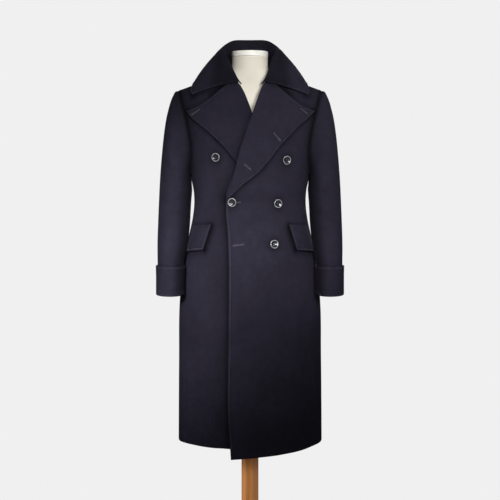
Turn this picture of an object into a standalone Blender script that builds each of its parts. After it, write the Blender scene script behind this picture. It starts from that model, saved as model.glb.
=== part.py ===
"""Long double-breasted wool overcoat worn by a limbless dress form on a wooden pole.

+X is the wearer's left, -Y the front, +Z up, and the floor under the base is Z = 0.
"""
import math

import bmesh
import bpy
import numpy as np
from mathutils import Matrix, Vector

# ------------------------------------------------------------------ driving sizes, metres
CLOTH = 0.003            # thickness of the coating
SEAM_GAP = 0.0003        # clear space left at every seam
AIR = 0.0012             # air between cloth layers that lie on each other
LAYER = CLOTH + AIR      # how far one more layer lifts the surface

SHOULDER_X = 0.233       # where the shoulder line ends
SHOULDER_Z = 1.470       # height of that end
SHOULDER_SLOPE = 0.36    # fall of the shoulder line per metre outwards
NECK_RISE = 0.030        # extra height of the shoulder line close to the neck
NECK_RISE_WIDTH = 0.080
SHOULDER_ROUND = 0.170   # height over which the body rounds over to the shoulder line
FULLNESS = 0.85          # below 1 makes the body sections squarer than an ellipse

ARMHOLE_X = 0.228        # shoulder end of the armhole
UNDERARM_Z = 1.185       # foot of the armhole
NECK_HALF_WIDTH = 0.078
NECK_BACK = 0.072
COLLAR_SET = 0.009       # the wearer's right collar end sits this much nearer the middle

OVERLAP_DROP = 0.032     # the lapped corner of the hem hangs this much lower
CUFF_TOP = 0.913
CUFF_FOOT = 0.824

BUTTON_DIAMETER = 0.0285
BUTTON_THICK = 0.0042

CAP_TOP = 1.595
CAP_THICK = 0.018
CAP_DIAMETER = 0.116
POLE_WIDTH = 0.054
TORSO_FOOT = 0.800
BASE_DIAMETER = 0.400
BASE_THICK = 0.028
BASE_CHAMFER = 0.005

# ------------------------------------------------------------------ tables of sections
# Coat body: outside half width at the side seam, and depth at centre front and back.
BODY = (
    ("height", "half_width", "front", "back"),
    (
        (0.300, 0.2342, 0.1600, 0.1510),
        (0.600, 0.2315, 0.1570, 0.1500),
        (0.786, 0.2285, 0.1520, 0.1490),
        (0.870, 0.2215, 0.1480, 0.1470),
        (0.940, 0.2105, 0.1430, 0.1410),
        (1.007, 0.1970, 0.1340, 0.1270),
        (1.060, 0.1855, 0.1285, 0.1150),
        (1.110, 0.1800, 0.1265, 0.1080),
        (1.185, 0.1920, 0.1300, 0.1140),
        (1.300, 0.2130, 0.1330, 0.1240),
        (1.400, 0.2300, 0.1270, 0.1220),
        (1.470, 0.2450, 0.1180, 0.1170),
        (1.560, 0.2550, 0.1120, 0.1120),
    ),
)

# Armhole seam: how far out it runs at each height.
ARMHOLE = (
    ("height", "out"),
    (
        (1.185, 0.1920),
        (1.200, 0.1895),
        (1.230, 0.1870),
        (1.267, 0.1862),
        (1.311, 0.1895),
        (1.354, 0.1968),
        (1.390, 0.2060),
        (1.423, 0.2150),
        (1.450, 0.2215),
        (1.472, 0.2280),
    ),
)

# Front edge, then roll line up to the neck point. Plus is towards the panel's own side.
EDGE_LEFT = (
    ("height", "inward"),
    (
        (0.300, -0.0600),
        (0.450, -0.0685),
        (0.700, -0.0665),
        (1.000, -0.0680),
        (1.110, -0.0745),
        (1.140, -0.0720),
        (1.222, -0.0450),
        (1.290, -0.0283),
        (1.415, 0.0145),
        (1.488, 0.0430),
        (1.538, 0.0780),
    ),
)
EDGE_RIGHT = (
    ("height", "inward"),
    (
        (0.300, -0.0620),
        (0.450, -0.0665),
        (0.700, -0.0665),
        (1.000, -0.0680),
        (1.110, -0.0700),
        (1.140, -0.0680),
        (1.222, -0.0480),
        (1.290, -0.0320),
        (1.415, 0.0000),
        (1.488, 0.0340),
        (1.538, 0.0780),
    ),
)

# Lapel: roll side and free side of each cross line, from the break up to the gorge.
LAPEL_LEFT = (
    ("along", "roll_x", "roll_z", "free_x", "free_z"),
    (
        (0.00, -0.0735, 1.127, -0.0600, 1.132),
        (0.15, -0.0600, 1.172, -0.0190, 1.173),
        (0.30, -0.0450, 1.222, 0.0265, 1.211),
        (0.50, -0.0283, 1.290, 0.0935, 1.292),
        (0.70, -0.0060, 1.352, 0.1540, 1.356),
        (0.85, 0.0145, 1.415, 0.1830, 1.382),
        (1.00, 0.0430, 1.487, 0.2020, 1.402),
    ),
)
LAPEL_RIGHT = (
    ("along", "roll_x", "roll_z", "free_x", "free_z"),
    (
        (0.00, -0.0665, 1.150, -0.0480, 1.154),
        (0.15, -0.0590, 1.180, -0.0150, 1.178),
        (0.30, -0.0480, 1.222, 0.0200, 1.214),
        (0.50, -0.0320, 1.290, 0.0800, 1.288),
        (0.70, -0.0160, 1.352, 0.1450, 1.350),
        (0.85, 0.0000, 1.415, 0.1800, 1.378),
        (1.00, 0.0340, 1.487, 0.1990, 1.402),
    ),
)
# Upper edge of the lapel, from the gorge out to the peak, as shares of its straight line.
LAPEL_TOP = (
    ("share", "rise"),
    (
        (0.00, 0.000),
        (0.22, 0.016),
        (0.45, 0.006),
        (0.70, -0.004),
        (1.00, 0.000),
    ),
)

# Collar stations from centre back (0) round to the front end (1).
COLLAR = (
    ("around", "base_x", "base_y", "base_z", "fold_x", "fold_y", "fold_z",
     "edge_x", "edge_y", "edge_z"),
    (
        (0.00, 0.000, 0.0690, 1.5500, 0.000, 0.088, 1.637, 0.000, 0.112, 1.500),
        (0.20, 0.042, 0.0590, 1.5490, 0.050, 0.077, 1.636, 0.085, 0.090, 1.487),
        (0.40, 0.065, 0.0340, 1.5450, 0.078, 0.048, 1.628, 0.148, 0.058, 1.488),
        (0.58, 0.074, 0.0000, 1.5425, 0.088, 0.007, 1.607, 0.178, 0.004, 1.500),
        (0.76, 0.064, -0.0430, 1.5260, 0.077, -0.042, 1.582, 0.189, -0.040, 1.474),
        (0.88, 0.050, -0.0700, 1.5080, 0.066, -0.074, 1.545, 0.190, -0.052, 1.464),
        (1.00, 0.035, -0.0860, 1.4870, 0.043, -0.106, 1.4935, 0.184, -0.062, 1.455),
    ),
)

# Sleeve rings from the armhole to the wrist; share tells how much of the armhole's own
# curve the ring still has.
SLEEVE = (
    ("along", "outer_x", "outer_z", "inner_x", "inner_z", "front_y", "back_y", "share"),
    (
        (0.00, 0.2280, 1.4718, 0.1920, 1.1853, -0.071, 0.071, 1.00),
        (0.04, 0.2400, 1.4660, 0.1957, 1.1885, -0.074, 0.073, 0.80),
        (0.09, 0.2525, 1.4450, 0.1990, 1.1820, -0.076, 0.074, 0.50),
        (0.15, 0.2645, 1.4040, 0.1985, 1.1680, -0.077, 0.074, 0.20),
        (0.22, 0.2715, 1.3700, 0.1975, 1.1560, -0.078, 0.073, 0.00),
        (0.31, 0.2785, 1.3200, 0.1965, 1.1380, -0.079, 0.071, 0.00),
        (0.41, 0.2845, 1.2600, 0.1963, 1.1150, -0.080, 0.067, 0.00),
        (0.52, 0.2900, 1.1880, 0.1968, 1.0850, -0.082, 0.060, 0.00),
        (0.62, 0.2935, 1.1140, 0.1985, 1.0490, -0.086, 0.050, 0.00),
        (0.72, 0.2955, 1.0450, 0.2025, 1.0080, -0.098, 0.030, 0.00),
        (0.81, 0.2965, 0.9810, 0.2085, 0.9610, -0.112, 0.010, 0.00),
        (0.89, 0.2950, 0.9190, 0.2125, 0.9100, -0.127, -0.012, 0.00),
        (0.95, 0.2938, 0.8720, 0.2140, 0.8670, -0.139, -0.027, 0.00),
        (1.00, 0.2932, 0.8290, 0.2150, 0.8280, -0.149, -0.038, 0.00),
    ),
)

# Dress form: a whole, smooth, limbless torso with a neck.
TORSO = (
    ("height", "half_width", "front", "back"),
    (
        (0.800, 0.1450, 0.0930, 0.0930),
        (0.815, 0.1540, 0.1000, 0.1010),
        (0.900, 0.1620, 0.1060, 0.1130),
        (1.000, 0.1500, 0.0980, 0.0950),
        (1.100, 0.1380, 0.0930, 0.0800),
        (1.200, 0.1560, 0.1040, 0.0900),
        (1.300, 0.1680, 0.1080, 0.0980),
        (1.380, 0.1800, 0.0980, 0.0950),
        (1.430, 0.1900, 0.0820, 0.0840),
        (1.455, 0.1880, 0.0700, 0.0740),
        (1.475, 0.1680, 0.0610, 0.0640),
        (1.492, 0.1300, 0.0560, 0.0570),
        (1.508, 0.0940, 0.0545, 0.0545),
        (1.530, 0.0640, 0.0540, 0.0540),
        (1.555, 0.0580, 0.0550, 0.0550),
        (1.5765, 0.0572, 0.0572, 0.0572),
    ),
)

# Pocket flap corners on the front: near the front edge and near the side seam.
FLAP = (
    ("down", "near_x", "near_z", "far_x", "far_z"),
    (
        (0.0, 0.1215, 1.0390, 0.1760, 1.0350),
        (1.0, 0.1425, 0.9570, 0.2010, 0.9470),
    ),
)

BUTTONS = (
    ("name", "x", "height"),
    (
        ("button_upper_right", -0.1065, 1.252),
        ("button_upper_left", 0.1150, 1.243),
        ("button_fastened", -0.0550, 1.110),
        ("button_waist_left", 0.0865, 1.106),
        ("button_lower_left", 0.0770, 0.977),
    ),
)

# ------------------------------------------------------------------ colours
NAVY_WOOL = ("navy_wool", (0.012, 0.011, 0.020, 1.0), 0.92)
FORM_LINEN = ("form_linen", (0.80, 0.74, 0.62, 1.0), 0.80)
CAP_CREAM = ("cap_cream", (0.86, 0.81, 0.68, 1.0), 0.45)
POLE_WOOD = ("pole_wood", (0.45, 0.21, 0.08, 1.0), 0.45)
BASE_WOOD = ("base_wood", (0.42, 0.19, 0.07, 1.0), 0.50)
HORN = ("dark_horn", (0.020, 0.022, 0.028, 1.0), 0.28)


# ------------------------------------------------------------------ curves and surfaces
def curve(table, name, at):
    """Smooth curve of a named column through the table's rows, read at given places."""
    columns, rows = table
    rows = np.array(rows, dtype=float)
    spots = rows[:, 0]
    values = rows[:, columns.index(name)]
    slopes = np.gradient(values, spots)
    at = np.clip(np.asarray(at, dtype=float), spots[0], spots[-1])
    i = np.clip(np.searchsorted(spots, at, side="right") - 1, 0, len(spots) - 2)
    span = spots[i + 1] - spots[i]
    t = (at - spots[i]) / span
    rise = (2 * t**3 - 3 * t**2 + 1) * values[i] + (3 * t**2 - 2 * t**3) * values[i + 1]
    lean = (t**3 - 2 * t**2 + t) * slopes[i] + (t**3 - t**2) * slopes[i + 1]
    return rise + lean * span


def step(low, high, at):
    """Soft step from 0 at low to 1 at high."""
    t = np.clip((np.asarray(at, dtype=float) - low) / (high - low), 0.0, 1.0)
    return t * t * (3.0 - 2.0 * t)


def shoulder_line(x):
    """Height of the shoulder seam at a distance from the middle."""
    x = np.abs(x)
    line = SHOULDER_Z + SHOULDER_SLOPE * (SHOULDER_X - x)
    return line + NECK_RISE * np.exp(-((x / NECK_RISE_WIDTH) ** 2))


def body_surface(face, turn, height):
    """Outside of the coat body; face is -1 for the front and +1 for the back."""
    x = curve(BODY, "half_width", height) * np.sin(turn)
    depth = curve(BODY, "front" if face < 0 else "back", height)
    below = np.clip((shoulder_line(x) - height) / SHOULDER_ROUND, 0.0, 1.0)
    rounding = np.sqrt(1.0 - (1.0 - below) ** 2)
    y = face * depth * np.abs(np.cos(turn)) ** FULLNESS * rounding
    return np.stack([x, y, height + 0.0 * x], axis=-1)


def turn_at(x, height):
    """Angle round the body at which its surface reaches a given distance from the middle."""
    return np.arcsin(np.clip(x / curve(BODY, "half_width", height), -1.0, 1.0))


def normals(grid, outward):
    """Unit normals of a grid of points, all turned to the side of the outward vector."""
    along = np.gradient(grid, axis=0)
    across = np.gradient(grid, axis=1)
    normal = np.cross(along, across)
    normal /= np.linalg.norm(normal, axis=-1, keepdims=True) + 1e-12
    middle = normal[normal.shape[0] // 2, normal.shape[1] // 2]
    return normal if np.dot(middle, outward) > 0 else -normal


def flatten_normals(normal, where, axis):
    """Takes one axis out of the normals on a seam that lies in a plane of symmetry."""
    normal[where + (axis,)] = 0.0
    normal /= np.linalg.norm(normal, axis=-1, keepdims=True)


# ------------------------------------------------------------------ mesh building
def material(look):
    name, colour, roughness = look
    found = bpy.data.materials.get(name)
    if found:
        return found
    made = bpy.data.materials.new(name)
    made.use_nodes = True
    shader = made.node_tree.nodes["Principled BSDF"]
    shader.inputs["Base Color"].default_value = colour
    shader.inputs["Roughness"].default_value = roughness
    return made


def add_object(name, mesh_builder, look):
    """Turns a finished bmesh into a named object with its material."""
    bmesh.ops.recalc_face_normals(mesh_builder, faces=mesh_builder.faces)
    bmesh.ops.triangulate(mesh_builder, faces=mesh_builder.faces)
    mesh = bpy.data.meshes.new(name)
    mesh_builder.to_mesh(mesh)
    mesh_builder.free()
    mesh.materials.append(material(look))
    made = bpy.data.objects.new(name, mesh)
    bpy.context.scene.collection.objects.link(made)
    return made


def wall(name, outer, inner, look):
    """Closed sheet of cloth between an outer and an inner grid of points."""
    built = bmesh.new()
    rows, cols = outer.shape[:2]
    out = [[built.verts.new(outer[i, j]) for j in range(cols)] for i in range(rows)]
    inn = [[built.verts.new(inner[i, j]) for j in range(cols)] for i in range(rows)]
    for i in range(rows - 1):
        for j in range(cols - 1):
            built.faces.new((out[i][j], out[i][j + 1], out[i + 1][j + 1], out[i + 1][j]))
            built.faces.new((inn[i][j], inn[i + 1][j], inn[i + 1][j + 1], inn[i][j + 1]))
    for i in range(rows - 1):
        built.faces.new((out[i][0], out[i + 1][0], inn[i + 1][0], inn[i][0]))
        built.faces.new((out[i][-1], inn[i][-1], inn[i + 1][-1], out[i + 1][-1]))
    for j in range(cols - 1):
        built.faces.new((out[0][j], inn[0][j], inn[0][j + 1], out[0][j + 1]))
        built.faces.new((out[-1][j], out[-1][j + 1], inn[-1][j + 1], inn[-1][j]))
    return add_object(name, built, look)


def tube_wall(name, outer, inner, look):
    """Closed band of cloth whose grid columns run all the way round."""
    built = bmesh.new()
    rows, cols = outer.shape[:2]
    out = [[built.verts.new(outer[i, j]) for j in range(cols)] for i in range(rows)]
    inn = [[built.verts.new(inner[i, j]) for j in range(cols)] for i in range(rows)]
    for j in range(cols):
        k = (j + 1) % cols
        for i in range(rows - 1):
            built.faces.new((out[i][j], out[i][k], out[i + 1][k], out[i + 1][j]))
            built.faces.new((inn[i][j], inn[i + 1][j], inn[i + 1][k], inn[i][k]))
        built.faces.new((out[0][j], inn[0][j], inn[0][k], out[0][k]))
        built.faces.new((out[-1][j], out[-1][k], inn[-1][k], inn[-1][j]))
    return add_object(name, built, look)


def stack(name, rings, look):
    """Solid closed body through a stack of rings with equal counts."""
    built = bmesh.new()
    made = [[built.verts.new(point) for point in ring] for ring in rings]
    count = len(made[0])
    for low, high in zip(made, made[1:]):
        for j in range(count):
            k = (j + 1) % count
            built.faces.new((low[j], low[k], high[k], high[j]))
    built.faces.new(made[0])
    built.faces.new(made[-1])
    return add_object(name, built, look)


# ------------------------------------------------------------------ fronts and backs
LOWER_LEVELS = (0.335, 0.480, 0.630, 0.770, 0.860, 0.930, 0.990, 1.045, 1.090, 1.121, 1.146)
ARM_STEPS = 10


def armhole_heights():
    """Heights up the armhole, closer together at both ends."""
    share = 0.5 - 0.5 * np.cos(np.linspace(0.0, math.pi, ARM_STEPS + 1))
    top = float(shoulder_line(ARMHOLE_X))
    return UNDERARM_Z + (top - UNDERARM_Z) * share


def back_neck(x):
    """Height of the upper edge of the back: neckline, then the shoulder seam."""
    share = np.clip(np.abs(x) / NECK_HALF_WIDTH, 0.0, 1.0)
    y = NECK_BACK * np.sqrt(1.0 - share**2)
    depth = curve(BODY, "back", 1.53) * np.cos(turn_at(x, 1.53)) ** FULLNESS
    drop = SHOULDER_ROUND * (1.0 - np.sqrt(1.0 - np.clip(y / depth, 0.0, 1.0) ** 2))
    return shoulder_line(x) - drop


def panel_grid(face, inner_x, inner_z, outer_x, outer_z, top_line, columns):
    """Grid of surface points from the inner edge (column 0) to the side (last column)."""
    share = np.linspace(0.0, 1.0, columns)[None, :]
    turn_in = turn_at(inner_x, inner_z)[:, None]
    turn_out = turn_at(outer_x, outer_z)[:, None]
    turn = turn_in + (turn_out - turn_in) * share
    height = inner_z[:, None] + (outer_z - inner_z)[:, None] * share
    follow = step(1.10, 1.47, outer_z)[:, None]
    for _ in range(3):
        x = curve(BODY, "half_width", height) * np.sin(turn)
        ends = top_line(x[:, :1]) + (top_line(x[:, -1:]) - top_line(x[:, :1])) * share
        height = inner_z[:, None] + (outer_z - inner_z)[:, None] * share
        height = height + follow * (top_line(x) - ends)
    return body_surface(face, turn, height)


def front_lift(x, height, far_edge):
    """How far the lapping front lies above the plain body surface."""
    under_lapel = step(1.121, 1.146, height) * (1.0 - step(1.42, 1.48, height))
    layers = 1.0 + 1.25 * under_lapel
    covered = 1.0 - step(far_edge + 0.014, far_edge + 0.070, x)
    fade = 1.0 - step(1.42, 1.49, height)
    return LAYER * layers * covered * fade


def far_edge(height):
    """Where the under front's own edge ends beneath the lapping front."""
    return -curve(EDGE_RIGHT, "inward", height)


def front_grid(edge_table, drop):
    """Plain surface points of a front, on the wearer's left side."""
    lower = np.array(LOWER_LEVELS)
    upper = armhole_heights()
    outer_z = np.concatenate([lower, upper])
    outer_x = np.concatenate([curve(BODY, "half_width", lower), curve(ARMHOLE, "out", upper)])
    outer_x[len(lower)] = curve(BODY, "half_width", UNDERARM_Z)
    top = float(shoulder_line(NECK_HALF_WIDTH))
    share = (upper - UNDERARM_Z) / (upper[-1] - UNDERARM_Z)
    upper_in = UNDERARM_Z + (top - UNDERARM_Z) * share
    inner_z = np.concatenate([lower, upper_in])
    inner_z[:3] -= drop * np.array([1.0, 0.6, 0.25])
    inner_x = curve(edge_table, "inward", inner_z)
    return panel_grid(-1, inner_x, inner_z, outer_x, outer_z, shoulder_line, 15)


def seam_gap_columns(grid, which, gap):
    """Draws one edge column back by a gap towards its neighbour."""
    near = -2 if which == -1 else 1
    step_in = grid[:, near] - grid[:, which]
    step_in /= np.linalg.norm(step_in, axis=-1, keepdims=True)
    grid[:, which] += step_in * gap


def seam_gap_rows(grid, which, gap):
    """Draws one edge row back by a gap towards its neighbour."""
    near = -2 if which == -1 else 1
    step_in = grid[near] - grid[which]
    step_in /= np.linalg.norm(step_in, axis=-1, keepdims=True)
    grid[which] += step_in * gap


def mirror(points):
    turned = np.array(points)
    turned[..., 0] *= -1.0
    return turned


def front_faces(edge_table, drop, lapping):
    """Outer and inner points of a front panel, on the wearer's left side."""
    plain = front_grid(edge_table, drop)
    normal = normals(plain, (0.0, -1.0, 0.0))
    side = len(LOWER_LEVELS) + 1
    flatten_normals(normal, (slice(0, side), -1), 1)
    flatten_normals(normal, (-1, slice(None)), 1)
    lift = np.zeros(plain.shape[:2])
    if lapping:
        lift = front_lift(plain[..., 0], plain[..., 2], far_edge(plain[..., 2]))
    outer = plain + normal * lift[..., None]
    inner = outer - normal * CLOTH
    return outer, inner


def back_faces():
    """Outer and inner points of a back panel, on the wearer's left side."""
    lower = np.array(LOWER_LEVELS)
    upper = armhole_heights()
    outer_z = np.concatenate([lower, upper])
    outer_x = np.concatenate([curve(BODY, "half_width", lower), curve(ARMHOLE, "out", upper)])
    outer_x[len(lower)] = curve(BODY, "half_width", UNDERARM_Z)
    share = (upper - UNDERARM_Z) / (upper[-1] - UNDERARM_Z)
    upper_in = UNDERARM_Z + (float(back_neck(0.0)) - UNDERARM_Z) * share
    inner_z = np.concatenate([lower, upper_in])
    plain = panel_grid(1, 0.0 * inner_z, inner_z, outer_x, outer_z, back_neck, 12)
    normal = normals(plain, (0.0, 1.0, 0.0))
    side = len(LOWER_LEVELS) + 1
    flatten_normals(normal, (slice(0, side), -1), 1)
    flatten_normals(normal, (slice(None), 0), 0)
    on_seam = plain[-1, :, 0] >= NECK_HALF_WIDTH - 0.004
    normal[-1, on_seam, 1] = 0.0
    normal /= np.linalg.norm(normal, axis=-1, keepdims=True)
    return plain, plain - normal * CLOTH


def trim_panel(outer, inner):
    """Leaves the seam gap at the side, armhole and shoulder edges."""
    for grid in (outer, inner):
        seam_gap_columns(grid, -1, SEAM_GAP)
        seam_gap_rows(grid, -1, SEAM_GAP)


# ------------------------------------------------------------------ sleeves and cuffs
SLEEVE_RINGS = (0.0, 0.04, 0.09, 0.15, 0.22, 0.31, 0.41, 0.52, 0.62, 0.72, 0.81, 0.89, 0.95, 1.0)


def armhole_ring(front_edge, back_edge):
    """One ring of points: from the shoulder down the front, up the back."""
    front_down = front_edge[::-1]
    back_up = back_edge[1:-1]
    return np.concatenate([front_down, back_up])


def sleeve_ring(along, angle):
    """Plain ellipse of the sleeve at one station."""
    outer = np.array([curve(SLEEVE, "outer_x", along), 0.0, curve(SLEEVE, "outer_z", along)])
    inner = np.array([curve(SLEEVE, "inner_x", along), 0.0, curve(SLEEVE, "inner_z", along)])
    front = float(curve(SLEEVE, "front_y", along))
    back = float(curve(SLEEVE, "back_y", along))
    middle = (outer + inner) / 2.0
    middle[1] = (front + back) / 2.0
    reach = (outer - inner) / 2.0
    depth = np.array([0.0, (front - back) / 2.0, 0.0])
    return middle + np.cos(angle)[:, None] * reach + np.sin(angle)[:, None] * depth


def ring_normals(rings):
    """Normals of a grid whose columns run all the way round, pointing away from its axis."""
    wide = np.concatenate([rings[:, -1:], rings, rings[:, :1]], axis=1)
    along = np.gradient(wide, axis=0)[:, 1:-1]
    across = (wide[:, 2:] - wide[:, :-2]) / 2.0
    normal = np.cross(along, across)
    normal /= np.linalg.norm(normal, axis=-1, keepdims=True)
    centre = rings.mean(axis=1, keepdims=True)
    middle = rings.shape[0] // 2
    facing = np.sum(normal[middle] * (rings[middle] - centre[middle]), axis=-1).mean()
    return normal if facing > 0 else -normal


def sleeve_faces(front_outer, front_inner, back_outer, back_inner):
    """Outer and inner rings of a sleeve, on the wearer's left side."""
    first = len(LOWER_LEVELS)
    hole_out = armhole_ring(front_outer[first:, -1], back_outer[first:, -1])
    hole_in = armhole_ring(front_inner[first:, -1], back_inner[first:, -1])
    count = len(hole_out)
    angle = np.linspace(0.0, 2.0 * math.pi, count, endpoint=False)
    start = sleeve_ring(0.0, angle)
    rings = []
    for along in SLEEVE_RINGS:
        own = float(curve(SLEEVE, "share", along)) if along < 0.22 else 0.0
        rings.append(sleeve_ring(along, angle) + own * (hole_out - start))
    outer = np.array(rings)
    outer[0] = hole_out
    inner = outer - ring_normals(outer) * CLOTH
    inner[0] = hole_in
    shift = outer[1] - outer[0]
    shift /= np.linalg.norm(shift, axis=-1, keepdims=True)
    away = np.array([1.0, 0.0, 0.0]) * 0.0006 + np.array([0.0, 0.0, 1.0]) * 0.0004
    outer[0] = outer[0] + shift * SEAM_GAP + away
    inner[0] = inner[0] + shift * SEAM_GAP + away
    return outer, inner


TOP_HALF = 6             # ring steps from the shoulder line to each sleeve seam


def split_sleeve(outer, inner):
    """Columns of the top sleeve and of the under sleeve, with a seam gap between."""
    count = outer.shape[1]
    top = [j % count for j in range(-TOP_HALF, TOP_HALF + 1)]
    under = list(range(TOP_HALF, count - TOP_HALF + 1))
    parts = []
    for columns in (top, under):
        out = outer[:, columns].copy()
        inn = inner[:, columns].copy()
        for grid in (out, inn):
            seam_gap_columns(grid, 0, SEAM_GAP / 2.0)
            seam_gap_columns(grid, -1, SEAM_GAP / 2.0)
        parts.append((out, inn))
    return parts


def cuff_faces(count):
    """Outer and inner rings of the turned-back cuff."""
    angle = np.linspace(0.0, 2.0 * math.pi, count, endpoint=False)
    levels = np.linspace(0.897, 1.0, 4)
    base = np.array([sleeve_ring(along, angle) for along in levels])
    low, high = CUFF_FOOT, CUFF_TOP
    for i, ring in enumerate(base):
        ring[:, 2] = high + (low - high) * i / (len(levels) - 1)
    normal = ring_normals(base)
    normal[..., 2] = 0.0
    normal /= np.linalg.norm(normal, axis=-1, keepdims=True)
    stand = np.full(len(levels), LAYER + 0.0010)
    outer = base + normal * stand[:, None, None]
    return outer, outer - normal * CLOTH


# ------------------------------------------------------------------ lapels, collar, flaps
def lapel_faces(table, lapping):
    """Outer and inner points of a lapel lying on its own front, wearer's left side."""
    along = np.linspace(0.0, 1.0, 15)[:, None]
    across = np.linspace(0.0, 1.0, 9)[None, :]
    roll_x, roll_z = curve(table, "roll_x", along), curve(table, "roll_z", along)
    free_x, free_z = curve(table, "free_x", along), curve(table, "free_z", along)
    x = roll_x + (free_x - roll_x) * across
    z = roll_z + (free_z - roll_z) * across
    z = z + along**4 * curve(LAPEL_TOP, "rise", across)
    plain = body_surface(-1, turn_at(x, z), z)
    normal = normals(plain, (0.0, -1.0, 0.0))
    own = front_lift(x, z, far_edge(z)) if lapping else 0.0 * x
    width = np.abs(free_x - roll_x) + 0.001
    bulge = 0.0035 * np.exp(-((across * width / 0.022) ** 2)) * step(0.0, 0.25, along)
    if not lapping:
        bulge = bulge * step(1.39, 1.45, z)
    lift = own + LAYER + bulge
    outer = plain + normal * lift[..., None]
    return outer, outer - normal * CLOTH


def collar_faces():
    """Seen and hidden points of the whole collar, stand and fall in one strip."""
    half = np.linspace(0.0, 1.0, 15)
    around = np.concatenate([-half[:0:-1], half])
    side = np.where(around < 0.0, -1.0, 1.0)

    def line(part):
        values = [curve(COLLAR, part + axis, np.abs(around)) for axis in ("_x", "_y", "_z")]
        values[0] = values[0] * side
        return np.stack(values, axis=-1)

    base, fold, edge = line("base"), line("fold"), line("edge")
    nearer = COLLAR_SET * step(0.70, 1.0, -around)
    base[:, 0] += nearer
    fold[:, 0] += nearer
    outward = fold * np.array([1.0, 1.0, 0.0])
    outward /= np.linalg.norm(outward, axis=-1, keepdims=True)
    fall = edge - fold
    fall /= np.linalg.norm(fall, axis=-1, keepdims=True)
    rise = fold - base
    rise /= np.linalg.norm(rise, axis=-1, keepdims=True)
    ends = step(0.85, 1.0, np.abs(around))[:, None]
    stand_top = fold - rise * 0.007 - outward * 0.0035 * (1.0 - ends)
    shoulder = fold + fall * 0.007 + outward * 0.0045 * (1.0 - 0.6 * ends)
    bulge = outward * 0.010 * (1.0 - 0.8 * ends) + np.array([0.0, 0.0, 0.008])
    rows = [base, (base + stand_top) / 2.0, stand_top, fold, shoulder]
    for share in (0.2, 0.4, 0.6, 0.8, 1.0):
        flat = shoulder + (edge - shoulder) * share
        rows.append(flat + bulge * 4.0 * share * (1.0 - share) * 0.5)
    seen = np.array(rows)
    normal = normals(seen, (0.0, 1.0, 0.0))
    return seen, seen - normal * CLOTH


def flap_faces():
    """Outer and inner points of a pocket flap, wearer's left side."""
    down = np.linspace(0.0, 1.0, 5)[:, None]
    across = np.linspace(0.0, 1.0, 5)[None, :]
    near_x, near_z = curve(FLAP, "near_x", down), curve(FLAP, "near_z", down)
    far_x, far_z = curve(FLAP, "far_x", down), curve(FLAP, "far_z", down)
    z = near_z + (far_z - near_z) * across
    turn_near, turn_far = turn_at(near_x, near_z), turn_at(far_x, far_z)
    turn = turn_near + (turn_far - turn_near) * across
    plain = body_surface(-1, turn, z)
    normal = normals(plain, (0.0, -1.0, 0.0))
    lift = LAYER + 0.0020 * down * (1.0 - 0.7 * across)
    outer = plain + normal * lift[..., None]
    return outer, outer - normal * CLOTH


# ------------------------------------------------------------------ hard pieces
def button(name, x, height):
    """Round button with a raised rim and a shallow dish, lying on the front."""
    spot = body_surface(-1, turn_at(np.array([[x - 0.01, x, x + 0.01]] * 3),
                                    height + 0.01 * np.array([[-1.0], [0.0], [1.0]])),
                        height + 0.01 * np.array([[-1.0], [0.0], [1.0]]) * np.ones((1, 3)))
    out = Vector(normals(spot, (0.0, -1.0, 0.0))[1, 1])
    lift = 0.0
    if name.endswith("left") or name == "button_fastened":
        lift = float(front_lift(x, height, far_edge(height)))
    foot = Vector(spot[1, 1]) + out * (lift + AIR)
    turn = out.to_track_quat("Z", "Y").to_matrix().to_4x4()
    place = Matrix.Translation(foot) @ turn
    radius = BUTTON_DIAMETER / 2.0
    profile = (
        (radius * 0.80, 0.0), (radius * 0.97, BUTTON_THICK * 0.35),
        (radius, BUTTON_THICK * 0.70), (radius * 0.93, BUTTON_THICK),
        (radius * 0.80, BUTTON_THICK), (radius * 0.66, BUTTON_THICK * 0.62),
    )
    sides = 24
    rings = []
    for reach, rise in profile:
        ring = []
        for j in range(sides):
            angle = 2.0 * math.pi * j / sides
            ring.append(place @ Vector((reach * math.cos(angle), reach * math.sin(angle), rise)))
        rings.append(ring)
    stack(name, rings, HORN)


def section_ring(table, height, count):
    """Horizontal ring of a torso section."""
    wide = float(curve(table, "half_width", height))
    front = float(curve(table, "front", height))
    back = float(curve(table, "back", height))
    ring = []
    for j in range(count):
        angle = 2.0 * math.pi * j / count
        depth = front if math.cos(angle) > 0 else back
        ring.append((wide * math.sin(angle), -depth * math.cos(angle), height))
    return ring


def disc(name, levels, sides, look, turn=0.0):
    """Straight-sided solid through (radius, height) levels."""
    rings = []
    for radius, height in levels:
        ring = []
        for j in range(sides):
            angle = 2.0 * math.pi * j / sides + turn
            ring.append((radius * math.cos(angle), radius * math.sin(angle), height))
        rings.append(ring)
    stack(name, rings, look)


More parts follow.
